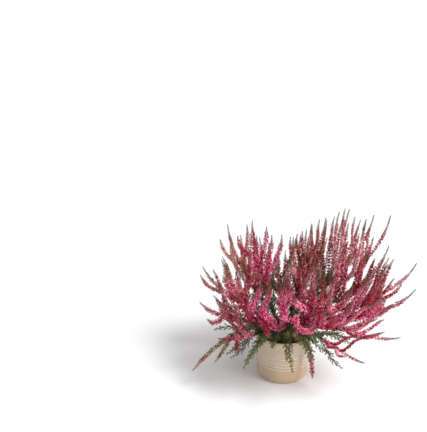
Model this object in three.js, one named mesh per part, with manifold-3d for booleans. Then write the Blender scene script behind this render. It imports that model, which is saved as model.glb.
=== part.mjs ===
// A crimson bud heather (Calluna vulgaris) in a plastic nursery pot, hardly tapered, with a rounded foot.
// Millimetres, +Z up.
// The origin is the middle of the pot's underside, so the plant stands on the plane z = 0.
//
// The pot holds one plug of soil. Each spray of the plant roots in its own hole in the soil and is two
// bodies: a green leafy stem below, and above it the flowering part, in which the side spikes are grown
// into the leading spike. Leaves and buds sit in whorls, and are raised from the stem's surface by a
// formula.
import * as THREE from "three";
import { mergeVertices } from "three/addons/utils/BufferGeometryUtils.js";
import Module from "manifold-3d";

const wasm = await Module();
wasm.setup();

const GAP = 0.35; // clearance between neighbouring bodies

// ---- Pot ----
const POT_HEIGHT = 95;
const RIM_RADIUS = 55;
const RIM_BAND = 9; // height of the thicker band under the rim
const RIM_STEP = 1.5; // how far the band stands out of the wall
const RIM_FLARE = 0.5; // how much further it stands out at its top
const RIM_EDGE = 1; // its bevels
const FOOT_RADIUS = 50.3; // where the wall's straight line meets the ground
const FOOT_ROUNDING = 14; // height of the rounded edge below
const FOOT_INSET = 4.6; // how far it falls back from that line
const FOOT_SHARES = [0, 0.16, 0.5, 1]; // where its rings stand, as shares of its height
const WALL = 1.6;
const FLOOR = 2;
const RING_HEIGHTS = [32, 39, 46, 57]; // fine raised rings round the wall
const RING_RISE = 0.8;
const RING_HALF_WIDTH = 1.6;
const POT_SIDES = 32;
const DRAIN_HOLES = 6;
const DRAIN_RADIUS = 3.2;
const DRAIN_CIRCLE = 27;
const DRAIN_SIDES = 8;

// ---- Soil ----
const SOIL_TOP = 86;
const SOIL_SIDES = 18;
const SOIL_RINGS = [41, 28, 14]; // circles of clods on its surface
const SOIL_CLOD = 1.2; // height of the clods
const SOIL_ROUNDING = 2; // how far it falls away beside the wall
const ROOT_DEPTH = 12; // how deep a stem stands in the soil
const HOLE_SIDES = 4;
const HOLE_RADIUS = 3.1;
const HOLE_LENGTH = 19; // along the stem, from the root's end to above the soil

// ---- Stems, leaves and buds ----
const STEM_RADIUS = 1.6; // bare wood at the soil
const NECK_RADIUS = 1.2; // where the leafy stem ends and the flowering part begins
const CORE_RADIUS = 0.9; // the slimmest that a stem is between its leaves
const TIP_RADIUS = 0.7;
const LEAF_RADIUS = 7.2; // how far leaves reach from the stem's middle
const SHOOT_TIP_RADIUS = 1.2; // how far they reach at the tip of a green shoot
const BUD_RADIUS = 7.6; // how far buds reach at the foot of a spike
const MIDDLE_BUD_RADIUS = 6; // and past its middle, where they are younger
const CLOSED_BUD_RADIUS = 2.1; // and where they are still closed
// Stretches of a strand, as shares of it, over which its reach changes from one of these to the next.
const FOOT_FLARE = [-0.1, 0.2];
const SPIKE_TAPER = [0, 0.7];
const CLOSING = [0.76, 0.93];
const SPIKE_TIP = [0.92, 1];
const NECK_TAPER = [0.85, 1];
const SHOOT_TAPER = [0.6, 1];
const BARE_LENGTH = 22; // wood with no leaves, measured from the root's end
const BLOOM = 0.36; // share of a spray's length where its flowers begin
const WHORL = 3; // leaves or buds at each level, turned by half a step from those at the next
const LIFT = 0.3; // how far a leaf or bud points up its stem, as a share of the pitch
const TWIST = 0.5; // how far a level may turn from its cross, in radians
const UNEVEN = [0.88, 1.12]; // how leaves and buds differ in reach
const LEAF_PITCH = 13; // distance between levels
const SHOOT_PITCH = 15;
const BUD_PITCH = 19;
const FEWEST_LEVELS = 3;
const SUNK = 1.2; // how far the root of a side shoot is sunk into its stem

// ---- Layout ----
// Each spray by the azimuth of its tip about +Z from +X, in degrees, the tip's distance from the pot's
// axis and its height above the ground. full is how broad its spikes are, bloom the share of its length
// where its flowers begin, and spikes and shoots how many spikes and green side shoots it bears. root is
// how far from the axis it stands in the soil, where that doesn't follow its lean.
const SPRAYS = [
  // upright, in the middle
  { azimuth: 124, reach: 108, height: 288, full: 1.1, spikes: 8, shoots: 5 },
  { azimuth: 60, reach: 118, height: 276, full: 0.85, spikes: 11, shoots: 5 },
  { azimuth: -30, reach: 134, height: 226, full: 1.25, bloom: 0.3, spikes: 7 },
  { azimuth: -98, reach: 66, height: 232, full: 1.4, bloom: 0.3, spikes: 4, shoots: 5, root: 34 },
  { azimuth: 176, reach: 112, height: 234, full: 1.15, bloom: 0.34, spikes: 9, shoots: 5 },
  { azimuth: 40, reach: 52, height: 244, spikes: 8 },
  // arching, half way out
  { azimuth: 16, reach: 213, height: 312, full: 0.7, spikes: 8, shoots: 2 },
  { azimuth: 32, reach: 219, height: 290, full: 0.7, spikes: 9, shoots: 3 },
  { azimuth: 44, reach: 236, height: 260, full: 0.7, shoots: 3 },
  { azimuth: 60, reach: 196, height: 262, full: 0.75, spikes: 9, shoots: 3 },
  { azimuth: 90, reach: 164, height: 192, full: 0.85, spikes: 9, shoots: 3 },
  { azimuth: 127, reach: 180, height: 258, full: 0.85, spikes: 9, shoots: 3 },
  { azimuth: 6, reach: 198, height: 264, full: 0.75, bloom: 0.32, spikes: 11 },
  { azimuth: -40, reach: 148, height: 208, full: 1.3, bloom: 0.28, spikes: 6 },
  { azimuth: -148, reach: 112, height: 212, full: 1.35, bloom: 0.3, spikes: 6, shoots: 5 },
  // low, at the edge
  { azimuth: -1, reach: 246, height: 240, full: 0.8, bloom: 0.3, spikes: 12, shoots: 3 },
  { azimuth: -11, reach: 241, height: 206, full: 0.9, bloom: 0.3, spikes: 13, shoots: 2 },
  { azimuth: -19, reach: 222, height: 120, full: 0.7, bloom: 0.34, spikes: 8, shoots: 3 },
  { azimuth: -38, reach: 176, height: 88, full: 0.62, bloom: 0.44, spikes: 5, shoots: 2 },
  { azimuth: -82, reach: 92, height: 128, full: 1.05, bloom: 0.52, spikes: 3, shoots: 5, root: 38 },
  { azimuth: -58, reach: 78, height: 234, full: 1.4, bloom: 0.28, spikes: 4, root: 38 },
  { azimuth: -122, reach: 88, height: 142, full: 1.2, bloom: 0.4, spikes: 4, root: 38 },
  { azimuth: -154, reach: 142, height: 112, full: 0.9, bloom: 0.38, spikes: 7, shoots: 2 },
  { azimuth: 178, reach: 164, height: 152, bloom: 0.32 },
  { azimuth: 144, reach: 196, height: 174, full: 0.85, spikes: 7, shoots: 3 },
  { azimuth: 104, reach: 212, height: 166, full: 0.85, spikes: 7, shoots: 3 },
  { azimuth: 54, reach: 236, height: 172, full: 0.85, spikes: 7, shoots: 3 },
  // hanging
  { azimuth: -162, reach: 186, height: 38, full: 0.9, spikes: 2, shoots: 1 },
  { azimuth: -46, reach: 78, height: 20, full: 0.9, bloom: 0.5, spikes: 1, shoots: 0 },
];
const SPIKES = 8;
const SHOOTS = 4;
const ROOT_RADII = [6, 26]; // distance of roots from the pot's axis, upright sprays to low ones
const ROOT_ROOM = 9; // least distance between two roots
const ROOT_ROUNDS = 40; // how often they are moved apart
const LOW_LEAN = 75; // the lean, in degrees, from which a spray counts as low
const START_LEAN = 26; // most that a stem leans as it leaves the soil
const START_SHARE = 0.8; // its lean there, as a share of its spray's
const STRAIGHT_LEAN = 92; // sprays that lean less turn up at the tip, and those that lean more turn down
const UPTURN = 3; // the power by which they turn up
const DOWNTURN = 3.9; // how much further than themselves they turn down
const STEEPEST = 175; // the lean of a tip that hangs straight down
const HANDLE = 0.4; // reach of a curve's end directions, as a share of its chord
const RISE = 1.1; // how much further a stem rises, at a try, where it must clear the rim
const RIM_ROOM = 5; // what it clears the rim by
const SIDE_ANGLE = 32; // degrees between a side shoot and its stem where it leaves
const SIDE_BRANCH = [0.05, 0.44]; // where side spikes leave the leading one, as shares of it
const SIDE_FULL = 0.92; // how broad they are, as a share of it
const SIDE_SPREAD = [18, 46]; // how far their tips stand off it
const SIDE_SHARE = [0.6, 0.88]; // how far they reach, as a share of the way to its tip
const SIDE_STAND = 0.75; // their lean, as a share of its tip's
const SIDE_UPTURN = 0.75; // how far they turn to that from the way to its tip
const SHOOT_BRANCH = [0.92, 0.82, 0.72, 0.62, 0.54]; // where green shoots leave the leafy stem
const SHOOT_LENGTH = [34, 74];
const SHOOT_SPREAD = 0.42; // as a share of their length
const SHOOT_DROOP = 56; // they lean as their spray does at this lean, more in lower ones, up to SHOOT_HANG
const SHOOT_HANG = 104;
const SHOOT_FALL = 6; // the lower ones lean out more, by this times the square of their number
const FORKED = 0.4; // share of a side shoot that may be near its own stem
const TURNS_TRIED = 12; // directions tried for each side shoot, to keep it clear of the others
const LOWEST = 14; // nothing hangs lower than this
const SAMPLE_PITCH = 6; // distance between the points of a strand that clearance is measured at
const SHARED_ROOM = 0.44; // how far leaves reach into the space between two strands
const SEED_STEP = 31; // between the seeds of two sprays

const FLOWER_COLOURS = [0xc2345f, 0xb8415f, 0xd03468, 0xa83f58];
const LEAF_COLOUR = 0x3f5a2e;
const POT_COLOUR = 0xc8ad92;
const SOIL_COLOUR = 0x33261c;

const mix = (a, b, t) => a + (b - a) * t;
const over = (v, [start, end]) => THREE.MathUtils.smoothstep(v, start, end);
const radians = THREE.MathUtils.degToRad;
const fullTurn = 2 * Math.PI;

// A repeatable draw from 0 to 1 for a spray, a shoot of it and a purpose.
function draw(spray, shoot, purpose) {
  let h = Math.imul(spray + 1, 0x9e3779b1) ^ Math.imul(shoot + 1, 0x85ebca6b);
  h ^= Math.imul(purpose + 1, 0xc2b2ae35);
  h = Math.imul(h ^ (h >>> 15), 0x2c1b3c6d);
  h = Math.imul(h ^ (h >>> 12), 0x297a2d39);
  return ((h ^ (h >>> 15)) >>> 0) / 4294967296;
}

// A direction that leans from upright towards an azimuth.
function leaning(azimuth, lean) {
  const a = radians(azimuth);
  const l = radians(lean);
  return new THREE.Vector3(Math.sin(l) * Math.cos(a), Math.sin(l) * Math.sin(a), Math.cos(l));
}

// The curve from one point to another that starts and ends in given directions.
function arc(start, startDirection, end, endDirection, rise = 1) {
  const handle = start.distanceTo(end) * HANDLE;
  return new THREE.CubicBezierCurve3(
    start,
    start.clone().addScaledVector(startDirection, handle * rise),
    end.clone().addScaledVector(endDirection, -handle),
    end,
  );
}

// How far a point is from the pot and its soil.
function potClearance({ x, y, z }) {
  const distance = Math.hypot(x, y);
  const inside = RIM_RADIUS - RIM_STEP - WALL - 1;
  const across = Math.max(inside - distance, distance - RIM_RADIUS);
  const overRim = Math.hypot(Math.max(across, 0), Math.max(z - POT_HEIGHT, 0));
  const overSoil = Math.hypot(Math.max(distance - inside, 0), Math.max(z - SOIL_TOP - SOIL_CLOD, 0));
  return Math.min(overRim, overSoil);
}

// A spray's lean from upright, in degrees, as seen from the middle of the soil.
function leanOf({ reach, height }) {
  return THREE.MathUtils.radToDeg(Math.atan2(reach, height - SOIL_TOP));
}

// The lean of its tip.
function tipLeanOf(spray) {
  const lean = leanOf(spray);
  if (lean < STRAIGHT_LEAN) return STRAIGHT_LEAN * (lean / STRAIGHT_LEAN) ** UPTURN;
  return Math.min(STRAIGHT_LEAN + (lean - STRAIGHT_LEAN) * DOWNTURN, STEEPEST);
}

// A point by its azimuth, its distance from the pot's axis and its height.
function polar(azimuth, distance, z) {
  const a = radians(azimuth);
  return new THREE.Vector3(distance * Math.cos(a), distance * Math.sin(a), z);
}

// Where the sprays root: each on the side that it leans to, moved until none crowds another.
function rootPoints() {
  const roots = SPRAYS.map((spray) => {
    const distance = spray.root ?? mix(...ROOT_RADII, over(leanOf(spray), [0, LOW_LEAN]));
    return polar(spray.azimuth, distance, SOIL_TOP - ROOT_DEPTH);
  });
  for (let round = 0; round < ROOT_ROUNDS; round++) {
    for (const [i, root] of roots.entries()) {
      for (const other of roots.slice(i + 1)) {
        const away = root.clone().sub(other);
        const short = Math.max(ROOT_ROOM - away.length(), 0);
        root.addScaledVector(away.normalize(), short / 2);
        other.addScaledVector(away, -short / 2);
      }
    }
  }
  return roots;
}

// The line of a spray's leading stem, from the root's end to the tip.
function leadingCurve(spray, root) {
  const { azimuth, reach, height } = spray;
  const tip = polar(azimuth, reach, height);
  const startDirection = leaning(azimuth, Math.min(leanOf(spray) * START_SHARE, START_LEAN));
  const tipDirection = leaning(azimuth, tipLeanOf(spray));
  let rise = 1;
  let curve = arc(root, startDirection, tip, tipDirection, rise);
  while (!clearsPot(curve)) {
    rise *= RISE;
    curve = arc(root, startDirection, tip, tipDirection, rise);
  }
  return curve;
}

// Whether a leading stem, once it is out of the soil, keeps its leaves clear of the pot.
function clearsPot(curve) {
  const points = curve.getPoints(40);
  const out = points.findIndex((p) => p.z > SOIL_TOP + RIM_ROOM + SOIL_CLOD);
  return out >= 0 && points.slice(out).every((p) => potClearance(p) >= RIM_ROOM);
}

// A stretch of stem with its leaves or buds. body names the solid that it is part of, reachAt and isBare take
// a share of the stretch, isPointed tells whether it ends in a point, sunk is how far its first end is sunk
// into the stem that it grows from, and samples are the points that other strands keep clear of.
function makeStrand(strand) {
  const whole = { from: 0, to: 1, isBare: () => false, isPointed: true, sunk: 0, ...strand };
  const { curve, from, to } = whole;
  const length = curve.getLength() * (to - from);
  const steps = Math.ceil(length / SAMPLE_PITCH);
  const samples = Array.from({ length: steps + 1 }, (_, i) => curve.getPointAt(mix(from, to, i / steps)));
  return { ...whole, length, samples };
}

// The least distance from a point to the samples of some strands.
function nearest(point, strands) {
  let least = Infinity;
  for (const { samples } of strands) {
    for (const sample of samples) least = Math.min(least, point.distanceToSquared(sample));
  }
  return Math.sqrt(least);
}

// A curve that leaves its parent at u, turned by an angle about it, and ends up off from it by spread.
function sideCurve(parent, u, turn, length, spread, endDirection) {
  const start = parent.getPointAt(u);
  const along = parent.getTangentAt(u);
  const off = new THREE.Vector3(-along.y, along.x, 1e-3).normalize();
  off.addScaledVector(along, -off.dot(along)).normalize().applyAxisAngle(along, turn);
  const leave = along.clone().multiplyScalar(Math.cos(radians(SIDE_ANGLE)));
  leave.addScaledVector(off, Math.sin(radians(SIDE_ANGLE)));
  const end = start.clone().addScaledVector(endDirection, length).addScaledVector(off, spread);
  return arc(start, leave, end, endDirection);
}

// Adds the strand that stays clearest of those that stand already, of the turns tried for it.
function addClearest(standing, strandAt) {
  let best = null;
  for (let n = 0; n < TURNS_TRIED; n++) {
    const strand = strandAt((fullTurn * n) / TURNS_TRIED);
    const free = strand.samples.slice(Math.ceil(strand.samples.length * FORKED));
    const fromStrands = free.map((p) => nearest(p, standing));
    const fromRest = strand.samples.map((p) => 2 * Math.min(potClearance(p), p.z - LOWEST));
    const room = Math.min(...fromStrands, ...fromRest);
    if (!best || room > best.room) best = { strand, room };
  }
  standing.push(best.strand);
}

// The reach of buds along a flowering spike: broad at its foot, and slim where they are closed, at its tip.
function budReach(v, full) {
  const open = mix(BUD_RADIUS, MIDDLE_BUD_RADIUS, over(v, SPIKE_TAPER)) * full;
  const closing = mix(open, CLOSED_BUD_RADIUS, over(v, CLOSING));
  return mix(closing, TIP_RADIUS, over(v, SPIKE_TIP)) * over(v, FOOT_FLARE);
}

// A spray's leading stem: its leafy strand, and above the neck its leading spike.
function leadingStrands({ curve, bloom, full, stem, flowers }) {
  const length = curve.getLength();
  const bare = BARE_LENGTH / (length * bloom);
  const leafReach = (v) => (v < bare ? STEM_RADIUS : mix(LEAF_RADIUS, NECK_RADIUS, over(v, NECK_TAPER)));
  const spikeReach = (v) => (v === 0 ? NECK_RADIUS : budReach(v, full));
  const isBare = (v) => v < bare;
  const leafy = { pitch: LEAF_PITCH, reachAt: leafReach, isBare, isPointed: false };
  const neck = bloom + GAP / length;
  return [
    makeStrand({ body: stem, curve, to: bloom, ...leafy }),
    makeStrand({ body: flowers, curve, from: neck, pitch: BUD_PITCH, reachAt: spikeReach }),
  ];
}

// Adds a spray's side spikes, which stand up from the leading one and end a little short of its tip.
function addSideSpikes(spray, standing) {
  const { index, azimuth, curve, bloom, full, spikes, flowers } = spray;
  const tipLean = tipLeanOf(spray);
  const upright = leaning(azimuth, tipLean < 90 ? tipLean * SIDE_STAND : tipLean);
  const reachAt = (v) => (v === 0 ? CORE_RADIUS : budReach(v, full * SIDE_FULL));
  for (let k = 0; k < spikes - 1; k++) {
    const u = mix(bloom, 1, mix(...SIDE_BRANCH, k / Math.max(spikes - 2, 1)));
    const chord = curve.getPointAt(1).sub(curve.getPointAt(u));
    const length = chord.length() * mix(...SIDE_SHARE, draw(index, k, 3));
    const spread = mix(...SIDE_SPREAD, draw(index, k, 4));
    const firstTurn = fullTurn * draw(index, k, 5);
    const endDirection = chord.normalize().lerp(upright, SIDE_UPTURN).normalize();
    addClearest(standing, (turn) => {
      const side = sideCurve(curve, u, firstTurn + turn, length, spread, endDirection);
      return makeStrand({ body: flowers, curve: side, pitch: BUD_PITCH, reachAt, sunk: SUNK });
    });
  }
}

// Adds a spray's green shoots, which bear no flowers.
function addShoots(spray, standing) {
  const { index, azimuth, curve, bloom, shoots, stem } = spray;
  const reachAt = (v) => (v === 0 ? CORE_RADIUS : mix(LEAF_RADIUS, SHOOT_TIP_RADIUS, over(v, SHOOT_TAPER)));
  for (const [k, share] of SHOOT_BRANCH.slice(0, shoots).entries()) {
    const length = mix(...SHOOT_LENGTH, draw(index, k, 1));
    const firstTurn = fullTurn * draw(index, k, 2);
    const spread = length * SHOOT_SPREAD;
    const lean = leanOf(spray) ** 2 / SHOOT_DROOP + SHOOT_FALL * k ** 2;
    const direction = leaning(azimuth, Math.min(lean, SHOOT_HANG));
    addClearest(standing, (turn) => {
      const side = sideCurve(curve, share * bloom, firstTurn + turn, length, spread, direction);
      return makeStrand({ body: stem, curve: side, pitch: SHOOT_PITCH, reachAt, sunk: SUNK });
    });
  }
}

// The sprays with their curves and names, and the strands of them all: the leading stems first, so that what
// grows from them keeps clear of every one.
function layOut() {
  const roots = rootPoints();
  const sprays = SPRAYS.map((spray, index) => {
    const number = String(index + 1).padStart(2, "0");
    const curve = leadingCurve(spray, roots[index]);
    const names = { stem: `leafy_stem_${number}`, flowers: `flower_spikes_${number}` };
    return { full: 1, bloom: BLOOM, spikes: SPIKES, shoots: SHOOTS, ...spray, ...names, index, curve };
  });
  const strands = sprays.flatMap(leadingStrands);
  for (const spray of sprays) addSideSpikes(spray, strands);
  for (const spray of sprays) addShoots(spray, strands);
  return { sprays, strands };
}

// ---- Surfaces ----

// A closed tube whose corners are given ring by ring, each ring anticlockwise about the tube's direction
// and turned by half a step from the one before. A last ring of one corner is its point.
function tubeSolid(rings) {
  const sides = rings[0].length;
  const last = (rings.length - 1) * sides;
  const pointed = rings.at(-1).length === 1;
  const index = [];
  for (let level = 0; level + 1 < rings.length; level++) {
    for (let n = 0; n < sides; n++) {
      const a = level * sides + n;
      const b = level * sides + ((n + 1) % sides);
      const [c, d] = [b + sides, a + sides];
      if (pointed && level + 2 === rings.length) index.push(a, b, last);
      else if (level % 2 === 0) index.push(a, b, d, b, c, d);
      else index.push(a, b, c, a, c, d);
    }
  }
  for (let n = 1; n + 1 < sides; n++) {
    index.push(0, n + 1, n);
    if (!pointed) index.push(last, last + n, last + n + 1);
  }
  const geometry = new THREE.BufferGeometry();
  const places = new Float32Array(rings.flat().flatMap((p) => p.toArray()));
  geometry.setAttribute("position", new THREE.BufferAttribute(places, 3));
  geometry.setIndex(index);
  return solidOf(geometry);
}

// A corner of a ring: as far as reach from the frame's point at an angle about its direction.
function corner(frame, angle, reach, lift) {
  return frame.point
    .clone()
    .addScaledVector(frame.side, reach * Math.cos(angle))
    .addScaledVector(frame.up, reach * Math.sin(angle))
    .addScaledVector(frame.tangent, lift);
}

// A strand as a solid: a tube with a whorl of leaves or buds at each level. Where strands of two bodies come
// near each other, their leaves stop short of the middle between them.
function strandSolid(strand, strands, seed) {
  const { body, curve, from, to, length, pitch, reachAt, isBare, isPointed, sunk } = strand;
  const others = strands.filter((other) => other.body !== body);
  const levels = Math.max(FEWEST_LEVELS, Math.round(length / pitch));
  const rings = framesAlong(curve, from, to, levels).map((frame, level) => {
    const v = level / levels;
    if (isPointed && level === levels) return [frame.point];
    const bare = isBare(v) || level === 0 || level === levels;
    const turn = ((level % 2) * fullTurn) / WHORL / 2 + (draw(seed, level, WHORL) - 0.5) * TWIST;
    const rooms = frame.near.map((p) => Math.min(nearest(p, others) * SHARED_ROOM, potClearance(p)));
    const most = Math.min(reachAt(v), Math.max(Math.min(...rooms) - GAP, CORE_RADIUS));
    return Array.from({ length: WHORL }, (_, n) => {
      const angle = (fullTurn * n) / WHORL + turn;
      if (bare) return corner(frame, angle, reachAt(v), level === 0 ? -sunk : 0);
      const uneven = most === reachAt(v) ? mix(...UNEVEN, draw(seed, level, n)) : 1;
      return corner(frame, angle, most * uneven, (LIFT * length) / levels);
    });
  });
  return tubeSolid(rings);
}

// Frames along part of a curve that don't spin about it, each with the points half a level to both sides.
function framesAlong(curve, from, to, levels) {
  const frames = [];
  let side = null;
  for (let i = 0; i <= levels; i++) {
    const u = mix(from, to, i / levels);
    const tangent = curve.getTangentAt(u);
    side = side ?? new THREE.Vector3(-tangent.y, tangent.x, 0.001).normalize();
    side = side.clone().addScaledVector(tangent, -side.dot(tangent)).normalize();
    const up = new THREE.Vector3().crossVectors(tangent, side);
    const near = [-0.5, 0, 0.5].map((half) => {
      const share = THREE.MathUtils.clamp(i + half, 0, levels) / levels;
      return curve.getPointAt(mix(from, to, share));
    });
    frames.push({ point: near[1], near, tangent, side, up });
  }
  return frames;
}

// A closed three.js geometry as a solid that can be joined and cut.
function solidOf(geometry) {
  const bare = geometry.clone();
  bare.deleteAttribute("normal");
  bare.deleteAttribute("uv");
  const merged = mergeVertices(bare, 1e-4);
  const vertProperties = merged.getAttribute("position").array;
  const triVerts = new Uint32Array(merged.index.array);
  return new wasm.Manifold(new wasm.Mesh({ numProp: 3, vertProperties, triVerts }));
}

// A solid as a named mesh.
function meshOf(name, solid, colour, roughness) {
  const cut = solid.getMesh();
  const geometry = new THREE.BufferGeometry();
  geometry.setAttribute("position", new THREE.BufferAttribute(cut.vertProperties, cut.numProp));
  geometry.setIndex(new THREE.BufferAttribute(cut.triVerts, 1));
  geometry.computeVertexNormals();
  const material = new THREE.MeshStandardMaterial({ color: colour, roughness, metalness: 0 });
  const mesh = new THREE.Mesh(geometry, material);
  mesh.name = name;
  return mesh;
}

// ---- Pot and soil ----

// The wall's outer radius at a height, below the rim's band.
function wallRadius(z) {
  const low = Math.max(1 - z / FOOT_ROUNDING, 0);
  const straight = mix(FOOT_RADIUS, RIM_RADIUS - RIM_STEP, z / (POT_HEIGHT - RIM_BAND));
  return straight - FOOT_INSET * (1 - Math.sqrt(1 - low * low));
}

// A solid of revolution about +Z, from the radii and heights of its profile.
function lathe(points, sides) {
  const profile = points.map(([r, z]) => new THREE.Vector2(r, z));
  return new THREE.LatheGeometry(profile, sides).rotateX(Math.PI / 2);
}

// The pot: a thin wall with a rounded foot, fine rings and a band round the rim, and a flat floor with drain
// holes.
function makePot() {
  const bandBottom = POT_HEIGHT - RIM_BAND;
  const inside = wallRadius(bandBottom) - WALL;
  const outerFoot = FOOT_SHARES.map((share) => share * FOOT_ROUNDING).map((z) => [wallRadius(z), z]);
  const innerFoot = FOOT_SHARES.map((share) => mix(FLOOR, FOOT_ROUNDING, share))
    .map((z) => [wallRadius(z) - WALL, z])
    .reverse();
  const rings = RING_HEIGHTS.flatMap((z) => [
    [wallRadius(z - RING_HALF_WIDTH), z - RING_HALF_WIDTH],
    [wallRadius(z) + RING_RISE, z],
    [wallRadius(z + RING_HALF_WIDTH), z + RING_HALF_WIDTH],
  ]);
  const profile = [
    [0, 0],
    ...outerFoot,
    ...rings,
    [wallRadius(bandBottom), bandBottom],
    [RIM_RADIUS - RIM_FLARE, bandBottom],
    [RIM_RADIUS, POT_HEIGHT - RIM_EDGE],
    [RIM_RADIUS - RIM_EDGE, POT_HEIGHT],
    [inside + RIM_EDGE, POT_HEIGHT],
    [inside, bandBottom],
    ...innerFoot,
    [0, FLOOR],
  ];
  let pot = solidOf(lathe(profile, POT_SIDES));
  for (let n = 0; n < DRAIN_HOLES; n++) {
    const { x, y, z } = polar((360 * (n + 0.5)) / DRAIN_HOLES, DRAIN_CIRCLE, FLOOR / 2);
    const hole = new THREE.CylinderGeometry(DRAIN_RADIUS, DRAIN_RADIUS, 2 * FLOOR, DRAIN_SIDES);
    pot = pot.subtract(solidOf(hole.rotateX(Math.PI / 2).translate(x, y, z)));
  }
  return pot;
}

// The soil: a plug that fills the pot to under its rim, with a hole for each stem.
function makeSoil(stems) {
  const flats = Math.cos(Math.PI / POT_SIDES);
  const edge = (z) => [(wallRadius(z) - WALL) * flats - GAP, z];
  const bottom = FLOOR + GAP;
  const foot = FOOT_SHARES.slice(0, -1).map((share) => edge(mix(bottom, FOOT_ROUNDING, share)));
  const rings = SOIL_RINGS.map((r) => [r, SOIL_TOP]);
  const wall = [...foot, edge(FOOT_ROUNDING), edge(SOIL_TOP - SOIL_ROUNDING)];
  const profile = [[0, bottom], ...wall, ...rings, [0, SOIL_TOP]];
  const geometry = lathe(profile, SOIL_SIDES);
  const position = geometry.getAttribute("position");
  for (let n = 0; n < position.count; n++) {
    const [x, y] = [position.getX(n), position.getY(n)];
    const clod = (Math.sin(x * 0.43 + 1) * Math.cos(y * 0.51) + Math.sin((x + y) * 0.9)) / 2;
    if (position.getZ(n) === SOIL_TOP) position.setZ(n, SOIL_TOP + SOIL_CLOD * clod);
  }
  let soil = solidOf(geometry);
  for (const curve of stems) {
    const frames = framesAlong(curve, 0, HOLE_LENGTH / curve.getLength(), 1);
    const rings = frames.map((frame, level) =>
      Array.from({ length: HOLE_SIDES }, (_, n) => {
        const angle = (fullTurn * n) / HOLE_SIDES;
        return corner(frame, angle, HOLE_RADIUS, level === 0 ? -GAP : 0);
      }),
    );
    soil = soil.subtract(tubeSolid(rings));
  }
  return soil;
}

// ---- The plant ----

// All strands of a body as one solid. A hollow that joining them seals is filled.
function bodySolid(body, strands, seed) {
  return strands
    .filter((strand) => strand.body === body)
    .map((strand, n) => strandSolid(strand, strands, seed + n))
    .reduce((whole, part) => whole.add(part))
    .decompose()
    .reduce((largest, piece) => (piece.volume() > largest.volume() ? piece : largest));
}

const heather = new THREE.Group();
heather.name = "potted_heather";
const { sprays, strands } = layOut();
const stemCurves = sprays.map(({ curve }) => curve);
heather.add(meshOf("pot", makePot(), POT_COLOUR, 0.55));
heather.add(meshOf("soil", makeSoil(stemCurves), SOIL_COLOUR, 0.95));
for (const { index, stem, flowers } of sprays) {
  const seed = index * SEED_STEP;
  const colour = FLOWER_COLOURS[index % FLOWER_COLOURS.length];
  heather.add(meshOf(stem, bodySolid(stem, strands, seed), LEAF_COLOUR, 0.8));
  heather.add(meshOf(flowers, bodySolid(flowers, strands, seed), colour, 0.75));
}

export default heather;
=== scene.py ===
"""Visual model of a crimson bud heather in its nursery pot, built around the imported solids.

The plant is laid out in millimetres by the same rules as its solids: sprays root in the peat, arch out
over the rim, and bear side spikes and green shoots that keep clear of each other. Each spray is then
dressed with thousands of small buds and leaves, and made a mesh in metres.
"""

import logging
import math
from dataclasses import dataclass, field
from enum import Enum
from typing import Callable, Optional, Sequence, Union

import bmesh
import bpy
import numpy as np
from mathutils import Matrix, Vector, noise


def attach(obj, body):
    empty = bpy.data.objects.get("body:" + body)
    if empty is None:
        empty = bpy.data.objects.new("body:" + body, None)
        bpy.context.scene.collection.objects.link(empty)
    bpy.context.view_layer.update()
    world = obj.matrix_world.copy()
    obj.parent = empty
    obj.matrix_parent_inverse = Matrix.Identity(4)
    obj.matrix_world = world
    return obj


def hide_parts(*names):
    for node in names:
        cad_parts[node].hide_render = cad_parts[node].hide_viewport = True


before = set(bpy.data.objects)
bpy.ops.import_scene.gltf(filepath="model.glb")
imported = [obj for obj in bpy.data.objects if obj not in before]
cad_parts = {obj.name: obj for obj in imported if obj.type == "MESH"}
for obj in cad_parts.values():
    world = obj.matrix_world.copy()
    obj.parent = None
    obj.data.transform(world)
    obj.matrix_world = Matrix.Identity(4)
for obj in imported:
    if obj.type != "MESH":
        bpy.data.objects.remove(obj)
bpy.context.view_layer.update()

LOG = logging.getLogger("heather")

MM = 0.001
FULL_TURN = 2.0 * math.pi
GOLDEN_TURN = math.pi * (3.0 - math.sqrt(5.0))
HASH_MASK = 0xFFFFFFFF
HASH_FACTORS = (0x9E3779B1, 0x85EBCA6B, 0xC2B2AE35)
HASH_ROUNDS = ((15, 0x2C1B3C6D), (12, 0x297A2D39))
HASH_LAST_SHIFT = 15

Colour = tuple[float, float, float, float]
Numbers = Union[float, np.ndarray]
Socket = bpy.types.NodeSocket
Input = Union[Socket, float, Sequence[float]]


def mix(a: Numbers, b: Numbers, t: Numbers) -> Numbers:
    """Blends from a to b as t goes from 0 to 1."""
    return a + (b - a) * t


def over(v: Numbers, stretch: tuple[float, float]) -> np.ndarray:
    """Rises smoothly from 0 to 1 while v crosses a stretch.

    Args:
        v: A number or an array of them.
        stretch: Where the rise starts and ends.

    Returns:
        The share, of v's own shape.
    """
    t = np.clip((np.asarray(v, float) - stretch[0]) / (stretch[1] - stretch[0]), 0.0, 1.0)
    return t * t * (3.0 - 2.0 * t)


def unit(vectors: np.ndarray) -> np.ndarray:
    """Scales one vector, or each row of an array, to length 1."""
    return vectors / np.linalg.norm(vectors, axis=-1, keepdims=True)


class Draw(Enum):
    """What a repeatable draw is for."""

    SHOOT_LENGTH = 1
    SHOOT_TURN = 2
    SPIKE_LENGTH = 3
    SPIKE_SPREAD = 4
    SPIKE_TURN = 5


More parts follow.
